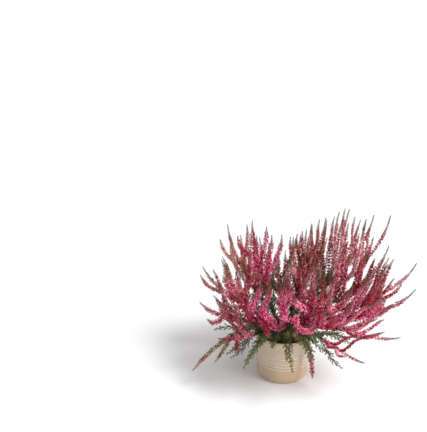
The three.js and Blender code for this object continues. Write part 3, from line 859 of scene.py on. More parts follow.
class Layout:
    """Where every spray, spike and shoot of the plant grows."""

    def __init__(self, sprays: Sequence[Spray]) -> None:
        """Lays the plant out: leading stems first, then side spikes, then green shoots.

        Args:
            sprays: The sprays.
        """
        self.sprays = sprays
        self.curves = [self._leading(s, r) for s, r in zip(sprays, self._roots())]
        self.strands: list[Strand] = []
        for index in range(len(sprays)):
            self.strands += self._leaders(index)
        for index in range(len(sprays)):
            self._add_side_spikes(index)
        for index in range(len(sprays)):
            self._add_shoots(index)

    def _roots(self) -> np.ndarray:
        """Finds where the sprays root, each on the side that it leans to and none crowding another.

        Returns:
            The roots, a row each.
        """
        roots = []
        for spray in self.sprays:
            share = float(over(lean_of(spray), (0.0, HABIT.low_lean)))
            distance = mix(*HABIT.root_radii, share) if spray.root is None else spray.root
            roots.append(polar(spray.azimuth, distance, HABIT.soil_top - HABIT.root_depth))
        for _ in range(HABIT.root_rounds):
            for i, root in enumerate(roots):
                for other in roots[i + 1 :]:
                    away = root - other
                    distance = float(np.linalg.norm(away))
                    short = max(HABIT.root_room - distance, 0.0)
                    root += away / distance * short / 2.0
                    other -= away / distance * short / 2.0
        return np.array(roots)

    def _leading(self, spray: Spray, root: np.ndarray) -> Curve:
        """Draws a spray's leading stem, raised until it clears the rim.

        Args:
            spray: The spray.
            root: Where it roots.

        Returns:
            The stem's curve, from the root's end to the tip.
        """
        tip = polar(spray.azimuth, spray.reach, spray.height)
        leave = leaning(spray.azimuth, min(lean_of(spray) * HABIT.start_share, HABIT.start_lean))
        arrive = leaning(spray.azimuth, tip_lean_of(spray))
        rise = 1.0
        curve = arc(root, leave, tip, arrive, rise)
        while not self._clears_pot(curve):
            rise *= HABIT.rise
            curve = arc(root, leave, tip, arrive, rise)
        return curve

    @staticmethod
    def _clears_pot(curve: Curve) -> bool:
        """Tells whether a stem, once it is out of the soil, keeps its leaves clear of the pot.

        Args:
            curve: The stem's curve.

        Returns:
            Whether it does.
        """
        points = curve.raw(np.linspace(0.0, 1.0, HABIT.clearance_points))
        above = np.nonzero(points[:, 2] > HABIT.soil_top + HABIT.rim_room + HABIT.soil_clod)[0]
        return len(above) > 0 and bool((pot_clearance(points[above[0] :]) >= HABIT.rim_room).all())

    def _leaders(self, index: int) -> list[Strand]:
        """Splits a leading stem into its leafy strand and its leading spike.

        Args:
            index: The spray's number.

        Returns:
            The two strands.
        """
        curve, spray = self.curves[index], self.sprays[index]
        bare = HABIT.bare_length / (curve.length * spray.bloom)
        neck = spray.bloom + HABIT.gap / curve.length
        return [
            Strand(Growth.STEM, index, curve, end=spray.bloom, bare=bare),
            Strand(Growth.LEADER, index, curve, start=neck, full=spray.full),
        ]

    @staticmethod
    def _side_curve(
        parent: Curve, u: float, turn: float, length: float, spread: float, arrive: np.ndarray
    ) -> Curve:
        """Draws a curve that leaves its parent and ends up off to its side.

        Args:
            parent: The curve that it grows from.
            u: Where it leaves, as a share of the parent.
            turn: To which side, as an angle about the parent.
            length: How far it ends along its last direction.
            spread: How far it ends to its side.
            arrive: Its last direction.

        Returns:
            The curve.
        """
        start = parent.points(np.array([u]))[0]
        along = parent.tangents(np.array([u]))[0]
        off = unit(np.array([-along[1], along[0], 1e-3]))
        off = unit(off - along * (off @ along))
        off = off * math.cos(turn) + np.cross(along, off) * math.sin(turn)
        angle = math.radians(HABIT.side_angle)
        leave = along * math.cos(angle) + off * math.sin(angle)
        return arc(start, leave, start + arrive * length + off * spread, arrive)

    def _add_clearest(self, strand_at: Callable[[float], Strand]) -> None:
        """Adds the strand that stays clearest of the plant, of the turns tried for it.

        Args:
            strand_at: Makes the strand for a turn.
        """
        standing = np.concatenate([s.samples for s in self.strands])
        best, most = None, -math.inf
        for n in range(HABIT.turns_tried):
            strand = strand_at(FULL_TURN * n / HABIT.turns_tried)
            points = strand.samples
            free = points[math.ceil(len(points) * HABIT.forked) :]
            rest = 2.0 * np.minimum(pot_clearance(points), points[:, 2] - HABIT.lowest)
            room = min(float(nearest(free, standing).min()), float(rest.min()))
            if room > most:
                best, most = strand, room
        self.strands.append(best)

    def _add_side_spikes(self, index: int) -> None:
        """Adds a spray's side spikes, which end a little short of its tip.

        Args:
            index: The spray's number.
        """
        spray, curve = self.sprays[index], self.curves[index]
        tip_lean = tip_lean_of(spray)
        upright = leaning(spray.azimuth, tip_lean * HABIT.side_stand if tip_lean < 90.0 else tip_lean)
        for k in range(spray.spikes - 1):
            share = mix(*HABIT.side_branch, k / max(spray.spikes - 2, 1))
            u = mix(spray.bloom, 1.0, share)
            chord = curve.points(np.array([1.0]))[0] - curve.points(np.array([u]))[0]
            length = float(np.linalg.norm(chord)) * mix(*HABIT.side_share, draw(index, k, Draw.SPIKE_LENGTH))
            spread = mix(*HABIT.side_spread, draw(index, k, Draw.SPIKE_SPREAD))
            first = FULL_TURN * draw(index, k, Draw.SPIKE_TURN)
            arrive = unit(mix(unit(chord), upright, HABIT.side_upturn))
            self._add_clearest(
                lambda turn: Strand(
                    Growth.SPIKE,
                    index,
                    self._side_curve(curve, u, first + turn, length, spread, arrive),
                    full=spray.full * HABIT.side_full,
                )
            )

    def _add_shoots(self, index: int) -> None:
        """Adds a spray's green shoots, which bear no flowers.

        Args:
            index: The spray's number.
        """
        spray, curve = self.sprays[index], self.curves[index]
        for k, share in enumerate(HABIT.shoot_branch[: spray.shoots]):
            lean = lean_of(spray) ** 2 / HABIT.shoot_droop + HABIT.shoot_fall * k**2
            arrive = leaning(spray.azimuth, min(lean, HABIT.shoot_hang))
            length = mix(*HABIT.shoot_length, draw(index, k, Draw.SHOOT_LENGTH))
            first = FULL_TURN * draw(index, k, Draw.SHOOT_TURN)
            spread = length * HABIT.shoot_spread
            self._add_clearest(
                lambda turn: Strand(
                    Growth.SHOOT,
                    index,
                    self._side_curve(curve, share * spray.bloom, first + turn, length, spread, arrive),
                )
            )

    def body(self, index: int, flowers: bool) -> list[Strand]:
        """Picks the strands of a spray's flowering or leafy part."""
        return [s for s in self.strands if s.spray == index and s.flowers == flowers]

    def others(self, index: int, flowers: bool) -> np.ndarray:
        """Gathers the samples of all strands outside a spray's flowering or leafy part."""
        rest = [s.samples for s in self.strands if s.spray != index or s.flowers != flowers]
        return np.concatenate(rest)


# ---- Small shapes and meshes ----


@dataclass(frozen=True)
class Mould:
    """A small closed shape, 1 long along its own z and 1 in radius, to be copied many times."""

    points: np.ndarray
    faces: np.ndarray

    @classmethod
    def of(cls, bm: bmesh.types.BMesh) -> "Mould":
        """Takes the shape from a bmesh and frees it.

        Args:
            bm: The bmesh.

        Returns:
            The mould.
        """
        bmesh.ops.triangulate(bm, faces=bm.faces[:])
        bm.verts.index_update()
        points = np.array([v.co[:] for v in bm.verts], float)
        faces = np.array([[v.index for v in f.verts] for f in bm.faces], int)
        bm.free()
        return cls(points, faces)

    @classmethod
    def spindle(cls, sides: int, profile: Sequence[tuple[float, float]], flat: float = 1.0) -> "Mould":
        """Makes a pointed shape from a coarse sphere.

        Args:
            sides: Corners of its cross-section.
            profile: Height and radius of each ring between its two points.
            flat: Its thickness, as a share of its width.

        Returns:
            The mould.
        """
        bm = bmesh.new()
        bmesh.ops.create_uvsphere(bm, u_segments=sides, v_segments=len(profile) + 1, radius=1.0)
        heights = sorted({round(v.co.z, 4) for v in bm.verts})
        for level, height in enumerate(heights):
            ring = [v for v in bm.verts if abs(v.co.z - height) < 1e-3]
            if 0 < level < len(heights) - 1:
                place, radius = profile[level - 1]
                size = radius / math.sqrt(max(1.0 - height * height, 1e-9))
                bmesh.ops.scale(bm, vec=(size, size * flat, 1.0), verts=ring)
            else:
                place = float(level > 0)
            bmesh.ops.translate(bm, vec=(0.0, 0.0, place - height), verts=ring)
        return cls.of(bm)

    @classmethod
    def twig(cls, sides: int, tip: float) -> "Mould":
        """Makes a straight stick that tapers.

        Args:
            sides: Corners of its cross-section.
            tip: Its radius at the end, as a share of that at the foot.

        Returns:
            The mould.
        """
        bm = bmesh.new()
        bmesh.ops.create_cone(bm, cap_ends=True, segments=sides, radius1=1.0, radius2=tip, depth=1.0)
        bmesh.ops.remove_doubles(bm, verts=bm.verts[:], dist=1e-5)
        bmesh.ops.translate(bm, vec=(0.0, 0.0, 0.5), verts=bm.verts[:])
        return cls.of(bm)

    @classmethod
    def crumb(cls, seed: int) -> "Mould":
        """Makes an uneven lump about the origin.

        Args:
            seed: What its dents are drawn from.

        Returns:
            The mould.
        """
        bm = bmesh.new()
        bmesh.ops.create_icosphere(bm, subdivisions=1, radius=1.0)
        rng = np.random.default_rng(seed)
        for v in bm.verts:
            bmesh.ops.scale(bm, vec=Vector([rng.uniform(0.55, 1.0)] * 3), verts=[v])
        return cls.of(bm)


@dataclass
class Copies:
    """Where copies of a mould go: a row for each."""

    base: np.ndarray
    along: np.ndarray
    length: np.ndarray
    width: np.ndarray
    neck: np.ndarray
    tone: np.ndarray
    ripe: np.ndarray
    twist: np.ndarray

    @classmethod
    def row(
        cls,
        base: np.ndarray,
        along: np.ndarray,
        length: Numbers,
        width: Numbers,
        tone: Numbers,
        ripe: Numbers,
        neck: Numbers = 0.0,
        twist: Numbers = 0.0,
    ) -> "Copies":
        """Fills in single numbers for all rows.

        Args:
            base: Where each copy's foot is.
            along: Its direction.
            length: Its length.
            width: Its radius.
            tone: Its place from dark to light.
            ripe: Its place from the foot to the tip of its strand.
            neck: How far its point is drawn down below its foot.
            twist: How far it is turned about itself.

        Returns:
            The copies.
        """
        given = (length, width, neck, tone, ripe, twist)
        return cls(base, unit(along), *(np.broadcast_to(np.asarray(a, float), (len(base),)) for a in given))


class Sheaf:
    """Gathers copies of moulds and stems into one mesh."""

    def __init__(self, name: str) -> None:
        """Starts an empty mesh.

        Args:
            name: The piece's name.
        """
        self.name = name
        self.materials: list[bpy.types.Material] = []
        self.points: list[np.ndarray] = []
        self.faces: list[np.ndarray] = []
        self.slots: list[np.ndarray] = []
        self.numbers: dict[str, list[np.ndarray]] = {"tone": [], "ripe": [], "tall": []}
        self.count = 0

    def _add(
        self, points: np.ndarray, faces: np.ndarray, material: bpy.types.Material, **numbers: np.ndarray
    ) -> None:
        """Adds points and faces.

        Args:
            points: The points, a row each.
            faces: The corners of each triangle, counted from the first of these points.
            material: Their finish.
            numbers: Each attribute's values at the points.
        """
        if material not in self.materials:
            self.materials.append(material)
        self.points.append(points)
        self.faces.append(faces + self.count)
        self.slots.append(np.full(len(faces), self.materials.index(material)))
        for key, values in numbers.items():
            self.numbers[key].append(values)
        self.count += len(points)

    def stamp(self, mould: Mould, copies: Copies, material: bpy.types.Material) -> None:
        """Adds a copy of a mould for each row.

        Args:
            mould: The shape.
            copies: Where the copies go.
            material: Their finish.
        """
        count = len(copies.base)
        if count == 0:
            return
        along = copies.along
        helper = np.where(np.abs(along[:, 2:3]) < 0.9, [[0.0, 0.0, 1.0]], [[1.0, 0.0, 0.0]])
        side = unit(np.cross(helper, along))
        other = np.cross(along, side)
        c, s = np.cos(copies.twist)[:, None], np.sin(copies.twist)[:, None]
        side, other = side * c + other * s, other * c - side * s
        x, y, z = mould.points.T
        rise = z[None] * copies.length[:, None] - (z[None] < 1e-6) * copies.neck[:, None]
        points = (
            copies.base[:, None]
            + (x[None] * copies.width[:, None])[..., None] * side[:, None]
            + (y[None] * copies.width[:, None])[..., None] * other[:, None]
            + rise[..., None] * along[:, None]
        )
        faces = mould.faces[None] + (np.arange(count) * len(x))[:, None, None]
        self._add(
            points.reshape(-1, 3),
            faces.reshape(-1, 3),
            material,
            tone=np.repeat(copies.tone, len(x)),
            ripe=np.repeat(copies.ripe, len(x)),
            tall=np.tile(z, count),
        )

    def limb(
        self, strand: Strand, v: np.ndarray, radii: np.ndarray, sides: int, material: bpy.types.Material
    ) -> None:
        """Adds a stem along a strand, drawn out ring by ring.

        Args:
            strand: The strand.
            v: Shares of it where the rings stand.
            radii: Their radii.
            sides: Corners of each ring.
            material: The stem's finish.
        """
        points, tangents, side, up = strand.curve.frames(strand.shares(v))
        rings = [
            Matrix.Translation(p) @ Matrix((s, u, t)).transposed().to_4x4() @ Matrix.Diagonal((r, r, r, 1.0))
            for p, t, s, u, r in zip(points, tangents, side, up, radii)
        ]
        bm = bmesh.new()
        ring = bmesh.ops.create_circle(bm, segments=sides, radius=1.0)["verts"]
        bmesh.ops.transform(bm, matrix=rings[0], verts=ring)
        edges = bm.edges[:]
        for before, after in zip(rings, rings[1:]):
            drawn = bmesh.ops.extrude_edge_only(bm, edges=edges)["geom"]
            ring = [g for g in drawn if isinstance(g, bmesh.types.BMVert)]
            lines = [g for g in drawn if isinstance(g, bmesh.types.BMEdge)]
            edges = [line for line in lines if all(end in ring for end in line.verts)]
            bmesh.ops.transform(bm, matrix=after @ before.inverted(), verts=ring)
        bmesh.ops.holes_fill(bm, edges=bm.edges[:], sides=0)
        bmesh.ops.recalc_face_normals(bm, faces=bm.faces[:])
        mould = Mould.of(bm)
        ripe = np.repeat(v, sides)
        self._add(mould.points, mould.faces, material, tone=np.full(len(ripe), 0.5), ripe=ripe, tall=ripe)

    def piece(self) -> bpy.types.Object:
        """Makes the mesh's object, in metres.

        Returns:
            The object, at the origin.
        """
        mesh = bpy.data.meshes.new(self.name)
        faces = np.concatenate(self.faces)
        mesh.from_pydata(np.concatenate(self.points) * MM, [], faces)
        for material in self.materials:
            mesh.materials.append(material)
        mesh.polygons.foreach_set("material_index", np.concatenate(self.slots).astype(np.int32))
        for key, values in self.numbers.items():
            attribute = mesh.attributes.new(key, "FLOAT", "POINT")
            attribute.data.foreach_set("value", np.concatenate(values).astype(np.float32))
        mesh.shade_smooth()
        mesh.update()
        made = bpy.data.objects.new(self.name, mesh)
        bpy.context.scene.collection.objects.link(made)
        LOG.info("%s: %d triangles", self.name, len(faces))
        return made


def around(
    tangents: np.ndarray, sides: np.ndarray, ups: np.ndarray, turn: np.ndarray, tilt: np.ndarray
) -> tuple[np.ndarray, np.ndarray]:
    """Turns directions about a stem and tilts them off it.

    Args:
        tangents: The stem's directions.
        sides: Directions square to it.
        ups: Directions square to both.
        turn: Angles about the stem.
        tilt: Angles off the stem.

    Returns:
        The directions straight out of the stem, and the tilted ones.
    """
    out = sides * np.cos(turn)[:, None] + ups * np.sin(turn)[:, None]
    return out, tangents * np.cos(tilt)[:, None] + out * np.sin(tilt)[:, None]


# ---- The plant's pieces ----


def spread_by(density: np.ndarray, marks: np.ndarray, length: float) -> np.ndarray:
    """Places things along a strand as thickly as a density asks.

    Args:
        density: How many to a millimetre, at each mark.
        marks: Shares of the strand, evenly from 0 to 1.
        length: The strand's length in millimetres.

    Returns:
        The shares where they go.
    """
    step = length * (marks[1] - marks[0])
    total = np.concatenate([[0.0], np.cumsum((density[1:] + density[:-1]) / 2.0 * step)])
    count = int(total[-1])
    return np.interp(np.arange(count) + 0.5, total, marks)


@dataclass(frozen=True)
class Room:
    """How much of the room around a strand is filled: the share of the way to its neighbours, the least
    reach in any case, and the pitch at which it is measured, in millimetres."""

    share: float
    least: float
    pitch: float = 3.0


@dataclass
class Growing:
    """A strand on its way into a mesh.

    Its marks are shares of it, evenly from 0 to 1, and its limits how far its buds or leaves may reach at
    each of them. Its mood is how much lighter or darker they are than those of others.
    """

    sheaf: Sheaf
    strand: Strand
    marks: np.ndarray
    limits: np.ndarray
    rng: np.random.Generator
    mood: float = 0.0

    @classmethod
    def among(
        cls, sheaf: Sheaf, strand: Strand, others: np.ndarray, room: "Room", rng: np.random.Generator
    ) -> "Growing":
        """Finds how far a strand's buds or leaves may reach among the rest of the plant.

        Args:
            sheaf: The mesh that the strand joins.
            strand: Where it grows.
            others: Points that it keeps clear of.
            room: How much of the room around it may be filled.
            rng: Its draws.

        Returns:
            The strand with its limits.
        """
        steps = max(4, round(strand.length / room.pitch))
        marks = np.linspace(0.0, 1.0, steps + 1)
        places = strand.curve.points(strand.shares(marks))
        free = np.minimum(nearest(places, others) * room.share, pot_clearance(places))
        return cls(sheaf, strand, marks, np.minimum(strand.reach(marks), np.maximum(free, room.least)), rng)

    def stem(self, radii: tuple[float, float], sides: int, bark: bpy.types.Material) -> None:
        """Adds the strand's own stem, with a ring at every second mark.

        Args:
            radii: Its radius at the foot and at the tip.
            sides: Corners of each ring.
            bark: Its finish.
        """
        rings = self.marks[::2]
        self.sheaf.limb(self.strand, rings, mix(*radii, rings), sides, bark)

    def frames(self, v: np.ndarray) -> tuple[np.ndarray, ...]:
        """Gives the points, directions and two cross directions of the strand at shares of it."""
        return self.strand.curve.frames(self.strand.shares(v))

    def reach(self, v: np.ndarray) -> np.ndarray:
        """Gives the limits at shares of the strand."""
        return np.interp(v, self.marks, self.limits)

    def tones(self, own: np.ndarray) -> np.ndarray:
        """Shifts the tones of buds or leaves by the strand's mood."""
        return np.clip(own + self.mood, 0.0, 1.0)


@dataclass
class Sidelet:
    """A short side twig that bears leaves or buds.

    It has a foot, a direction and one across it, a length, the share of its strand where it grows, and a
    place from dark to light.
    """

    foot: np.ndarray
    along: np.ndarray
    across: np.ndarray
    length: float
    share: float
    tone: float

    def spread(self, place: np.ndarray, turn: np.ndarray, lean: np.ndarray) -> tuple[np.ndarray, np.ndarray]:
        """Sets things along the twig.

        Args:
            place: Shares of the twig where they sit.
            turn: Their angles about it.
            lean: Their angles off it.

        Returns:
            Their feet and their directions.
        """
        side = unit(np.cross(self.along, self.across))
        rows = np.ones((len(place), 1))
        _, way = around(self.along * rows, side * rows, np.cross(self.along, side) * rows, turn, lean)
        return self.foot + self.along * (self.length * place)[:, None], way


@dataclass(frozen=True)
class SideletHabit:
    """How side twigs grow from a strand. Lengths in millimetres, tilts in degrees, turns in radians."""

    reach_span: tuple[float, float]
    turn_wobble: float
    inset: float
    least_length: float
    radius: float
    least_reach: float = 0.0
    tilt: float = 46.0
    tilt_wobble: float = 8.0

    def grow(
        self, growing: Growing, v: np.ndarray, mould: Mould, bark: bpy.types.Material
    ) -> list[Sidelet]:
        """Grows side twigs and adds their wood to the strand's mesh.

        Args:
            growing: The strand that they grow from.
            v: Shares of it where they grow.
            mould: The shape of their wood.
            bark: Its finish.

        Returns:
            The side twigs.
        """
        rng, count = growing.rng, len(v)
        reach = np.maximum(growing.reach(v), self.least_reach) * rng.uniform(*self.reach_span, count)
        points, tangents, sides, ups = growing.frames(v)
        turn = np.arange(count) * GOLDEN_TURN + rng.uniform(-self.turn_wobble, self.turn_wobble, count)
        tilt = np.radians(self.tilt + rng.uniform(-self.tilt_wobble, self.tilt_wobble, count))
        _, along = around(tangents, sides, ups, turn, tilt)
        length = np.maximum(reach - self.inset, self.least_length) / np.sin(tilt)
        tone = rng.uniform(0.0, 1.0, count)
        growing.sheaf.stamp(mould, Copies.row(points, along, length, self.radius, tone, v), bark)
        rows = zip(points, along, tangents, length, v, tone)
        return [Sidelet(p, way, t, float(size), float(share), float(c)) for p, way, t, size, share, c in rows]


@dataclass
class FlowerSpikes:
    """The flowering part of a spray: thin stems crowded with buds, bushy at the foot, green at the tip."""

    layout: Layout
    bark: bpy.types.Material
    leaf: bpy.types.Material
    buds: dict[Blush, bpy.types.Material]
    room: Room = Room(share=0.85, least=2.0)
    bud_pitch: float = 3.6
    bud_length: tuple[float, float] = (4.6, 3.0)
    bud_width: float = 0.32
    bud_tilt: tuple[float, float] = (60.0, 12.0)
    bud_wobble: float = 9.0
    bud_sunk: float = 0.3
    most_offset: float = 2.6
    ripening: tuple[float, float] = (0.78, 0.95)
    inner_density: float = 1.0
    least_density: float = 0.95
    whorl_pitch: float = 5.8
    whorl_loose: float = 0.14
    whorl_width: float = 0.37
    sidelets: SideletHabit = SideletHabit(
        reach_span=(0.8, 1.04), turn_wobble=0.4, inset=2.6, least_length=1.5, radius=0.42
    )
    sidelet_pitch: float = 2.1
    sidelet_least: float = 4.7
    sidelet_bud_pitch: float = 1.25
    sidelet_bud_lean: tuple[float, float] = (58.0, 20.0)
    leaves_per_mm: float = 0.34
    leaf_length: tuple[float, float] = (3.8, 2.2)
    leaf_sunk: float = 1.6
    leaf_width: float = 0.62
    mood: float = 0.42
    stem_tip: float = 0.35
    stem_sides: int = 5
    bud_mould: Mould = field(init=False)
    leaf_mould: Mould = field(init=False)
    twig_mould: Mould = field(init=False)

    def __post_init__(self) -> None:
        """Makes the moulds."""
        self.bud_mould = Mould.spindle(5, [(0.48, 1.0)])
        self.leaf_mould = Mould.spindle(3, [(0.4, 1.0)], flat=0.6)
        self.twig_mould = Mould.twig(3, 0.0)

    def build(self, index: int) -> bpy.types.Object:
        """Builds the flowering part of one spray.

        Args:
            index: The spray's number.

        Returns:
            The piece.
        """
        sheaf = Sheaf(f"bud_spikes_{index + 1:02d}")
        others = self.layout.others(index, flowers=True)
        for n, strand in enumerate(self.layout.body(index, flowers=True)):
            rng = np.random.default_rng([index, n, 7])
            self._spike(sheaf, strand, others, rng)
        piece = sheaf.piece()
        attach(piece, "root")
        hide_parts(f"flower_spikes_{index + 1:02d}")
        return piece

    def _spike(self, sheaf: Sheaf, strand: Strand, others: np.ndarray, rng: np.random.Generator) -> None:
        """Adds one spike.

        Args:
            sheaf: The mesh that it joins.
            strand: Where it grows.
            others: Points that it keeps clear of.
            rng: Its draws.
        """
        spike = Growing.among(sheaf, strand, others, self.room, rng)
        thick = HABIT.neck_radius if strand.growth is Growth.LEADER else HABIT.core_radius
        spike.stem((thick, self.stem_tip), self.stem_sides, self.bark)
        spike.mood = rng.uniform(-self.mood, self.mood)
        colour = self.buds[self.layout.sprays[strand.spray].blush]
        self._buds(spike, colour)
        self._sidelets(spike, colour)
        self._leaves(spike)

    def _buds(self, spike: Growing, colour: bpy.types.Material) -> None:
        """Adds the buds that sit on the spike's own stem.

        Args:
            spike: The spike.
            colour: The buds' material.
        """
        limits, rng = spike.limits, spike.rng
        packed = FULL_TURN * limits / self.bud_pitch**2
        thin = np.maximum(packed, self.least_density)
        density = np.where(limits > self.sidelet_least, self.inner_density, thin)
        v = spread_by(density, spike.marks, spike.strand.length)
        count = len(v)
        step = self.whorl_pitch * rng.uniform(0.86, 1.14) / spike.strand.length
        shift = rng.uniform(0.0, 1.0)
        whorl = (np.floor(v / step + shift) - shift + 0.5 + rng.normal(0.0, self.whorl_loose, count)) * step
        is_whorled = (spike.reach(v) <= self.sidelet_least) & (v < self.ripening[0])
        v = np.clip(np.where(is_whorled, whorl, v), 0.0, 1.0)
        points, tangents, sides, ups = spike.frames(v)
        reach = spike.reach(v) * rng.uniform(0.84, 1.08, count)
        late = over(v, self.ripening)
        length = mix(*self.bud_length, late) * rng.uniform(0.86, 1.12, count)
        tilt = np.radians(mix(*self.bud_tilt, late) + rng.uniform(-self.bud_wobble, self.bud_wobble, count))
        lean = np.minimum(np.sin(tilt), np.maximum(reach - self.bud_sunk, 0.2) / length)
        tilt = np.arcsin(np.clip(lean, 0.05, 0.95))
        off = np.clip(reach - length * np.sin(tilt), mix(0.25, 0.75, late), self.most_offset)
        turn = np.arange(count) * GOLDEN_TURN + rng.uniform(-0.3, 0.3, count)
        out, along = around(tangents, sides, ups, turn, tilt)
        foot = points + out * off[:, None] - tangents * 0.2
        neck = np.maximum(off - self.bud_sunk, 0.0) / np.sin(tilt) * 0.9
        tones = spike.tones(rng.uniform(0.0, 1.0, count))
        spin = rng.uniform(0.0, 2.0, count)
        width = length * np.where(is_whorled, self.whorl_width, self.bud_width)
        copies = Copies.row(foot, along, length, width, tones, v, neck, spin)
        spike.sheaf.stamp(self.bud_mould, copies, colour)

    def _sidelets(self, spike: Growing, colour: bpy.types.Material) -> None:
        """Adds short flowering side twigs, where the spike is broad.

        Args:
            spike: The spike.
            colour: The buds' material.
        """
        density = np.where(spike.limits > self.sidelet_least, 1.0 / self.sidelet_pitch, 0.0)
        v = spread_by(density, spike.marks, spike.strand.length)
        if len(v) == 0:
            return
        for sidelet in self.sidelets.grow(spike, v, self.twig_mould, self.bark):
            self._sidelet_buds(spike, sidelet, colour)

    def _sidelet_buds(self, spike: Growing, sidelet: Sidelet, colour: bpy.types.Material) -> None:
        """Sets a flowering side twig with buds, all but its foot.

        Args:
            spike: The spike that it grows from.
            sidelet: The side twig.
            colour: The buds' material.
        """
        rng = spike.rng
        count = 3 + int(sidelet.length / self.sidelet_bud_pitch)
        place = np.linspace(0.3, 1.0, count)
        spin = np.arange(count) * GOLDEN_TURN + rng.uniform(0, FULL_TURN)
        foot, way = sidelet.spread(place, spin, np.radians(mix(*self.sidelet_bud_lean, place)))
        size = self.bud_length[0] * mix(0.95, 0.82, place) * rng.uniform(0.88, 1.1, count)
        ripe = sidelet.share + 0.1 * place
        tones = spike.tones(sidelet.tone * 0.4 + rng.uniform(0.0, 0.7, count))
        copies = Copies.row(foot, way, size, size * self.bud_width, tones, ripe, self.bud_sunk, spin)
        spike.sheaf.stamp(self.bud_mould, copies, colour)

    def _leaves(self, spike: Growing) -> None:
        """Adds the small leaves among a spike's buds, crowded at its tip.

        Args:
            spike: The spike.
        """
        rng = spike.rng
        count = max(4, int(spike.strand.length * self.leaves_per_mm))
        v = np.sort(np.concatenate([rng.uniform(0.0, 0.9, count), rng.uniform(0.88, 1.0, count // 2)]))
        points, tangents, sides, ups = spike.frames(v)
        turn = rng.uniform(0.0, FULL_TURN, len(v))
        reach = spike.reach(v) * rng.uniform(0.55, 1.0, len(v))
        length = mix(*self.leaf_length, v) + self.leaf_sunk
        lean = np.arcsin(np.clip(reach / length, 0.1, 0.85))
        _, along = around(tangents, sides, ups, turn, lean)
        tones = rng.uniform(0.0, 1.0, len(v))
        copies = Copies.row(points, along, length, self.leaf_width, tones, v, twist=turn)
        spike.sheaf.stamp(self.leaf_mould, copies, self.leaf)


@dataclass
class LeafyStem:
    """The leafy part of a spray: a woody stem and its green shoots, both set with short leafy sidelets."""

    layout: Layout
    bark: bpy.types.Material
    leaf: bpy.types.Material
    room: Room = Room(share=0.6, least=4.4)
    sidelets: SideletHabit = SideletHabit(
        reach_span=(0.85, 1.05), turn_wobble=0.5, inset=0.9, least_length=0.6, radius=0.32, least_reach=1.4
    )
    sidelet_pitch: float = 2.35
    leaf_length: float = 3.3
    leaf_width: float = 0.95
    leaf_pitch: float = 0.6
    leaf_lean: tuple[float, float] = (58.0, 20.0)
    leaf_wobble: float = 8.0
    leaf_turn: float = FULL_TURN / 4.0 + 0.35
    tuft_length: float = 3.0
    shoot_tip: float = 0.4
    stem_sides: int = 6
    leaf_mould: Mould = field(init=False)
    twig_mould: Mould = field(init=False)

    def __post_init__(self) -> None:
        """Makes the moulds."""
        self.leaf_mould = Mould.spindle(3, [(0.38, 1.0)], flat=0.6)
        self.twig_mould = Mould.twig(3, 0.0)

    def build(self, index: int) -> bpy.types.Object:
        """Builds the leafy part of one spray.

        Args:
            index: The spray's number.

        Returns:
            The piece.
        """
        sheaf = Sheaf(f"green_stem_{index + 1:02d}")
        others = self.layout.others(index, flowers=False)
        for n, strand in enumerate(self.layout.body(index, flowers=False)):
            self._shoot(sheaf, strand, others, np.random.default_rng([index, n, 11]))
        piece = sheaf.piece()
        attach(piece, "root")
        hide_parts(f"leafy_stem_{index + 1:02d}")
        return piece

    def _shoot(self, sheaf: Sheaf, strand: Strand, others: np.ndarray, rng: np.random.Generator) -> None:
        """Adds one leafy strand.

        Args:
            sheaf: The mesh that it joins.
            strand: Where it grows.
            others: Points that it keeps clear of.
            rng: Its draws.
        """
        shoot = Growing.among(sheaf, strand, others, self.room, rng)
        stem = strand.growth is Growth.STEM
        thick = (HABIT.stem_radius, HABIT.neck_radius) if stem else (HABIT.core_radius, self.shoot_tip)
        shoot.stem(thick, self.stem_sides, self.bark)
        self._sidelets(shoot, strand.bare if stem else 0.02)
        if not stem:
            end = np.array([strand.end])
            way = strand.curve.tangents(end)[0]
            foot = strand.curve.points(end)[0] - way * self.tuft_length
            across = np.array([1.0, 0.1, 0.0])
            self._leaflets(shoot, Sidelet(foot, way, across, self.tuft_length, share=1.0, tone=0.8))

    def _sidelets(self, shoot: Growing, first: float) -> None:
        """Adds the sidelets of a leafy strand.

        Args:
            shoot: The strand.
            first: The share of it where they begin.
        """
        count = int(shoot.strand.length * (1.0 - first) / self.sidelet_pitch)
        v = first + (1.0 - first) * (np.arange(count) + 0.5) / count
        for sidelet in self.sidelets.grow(shoot, v, self.twig_mould, self.bark):
            self._leaflets(shoot, sidelet)

    def _leaflets(self, shoot: Growing, sidelet: Sidelet) -> None:
        """Sets a sidelet with leaves, four rows of them, and a tuft at its end.

        Args:
            shoot: The strand that it grows from.
            sidelet: The sidelet.
        """
        rng = shoot.rng
        count = 3 + int(sidelet.length / self.leaf_pitch)
        place = np.linspace(0.12, 1.0, count)
        turn = np.arange(count) * self.leaf_turn + sidelet.tone
        lean = mix(*self.leaf_lean, place) + rng.uniform(-self.leaf_wobble, self.leaf_wobble, count)
        base, way = sidelet.spread(place, turn, np.radians(lean))
        size = self.leaf_length * mix(1.0, 0.8, place) * rng.uniform(0.85, 1.15, count)
        tones = np.clip(sidelet.tone * 0.5 + rng.uniform(0.0, 0.6, count), 0.0, 1.0)
        ripe = np.clip(sidelet.share * 0.6 + 0.4 * place, 0.0, 1.0)
        copies = Copies.row(base, way, size, self.leaf_width, tones, ripe, twist=turn)
        shoot.sheaf.stamp(self.leaf_mould, copies, self.leaf)


# ---- Pot and peat ----


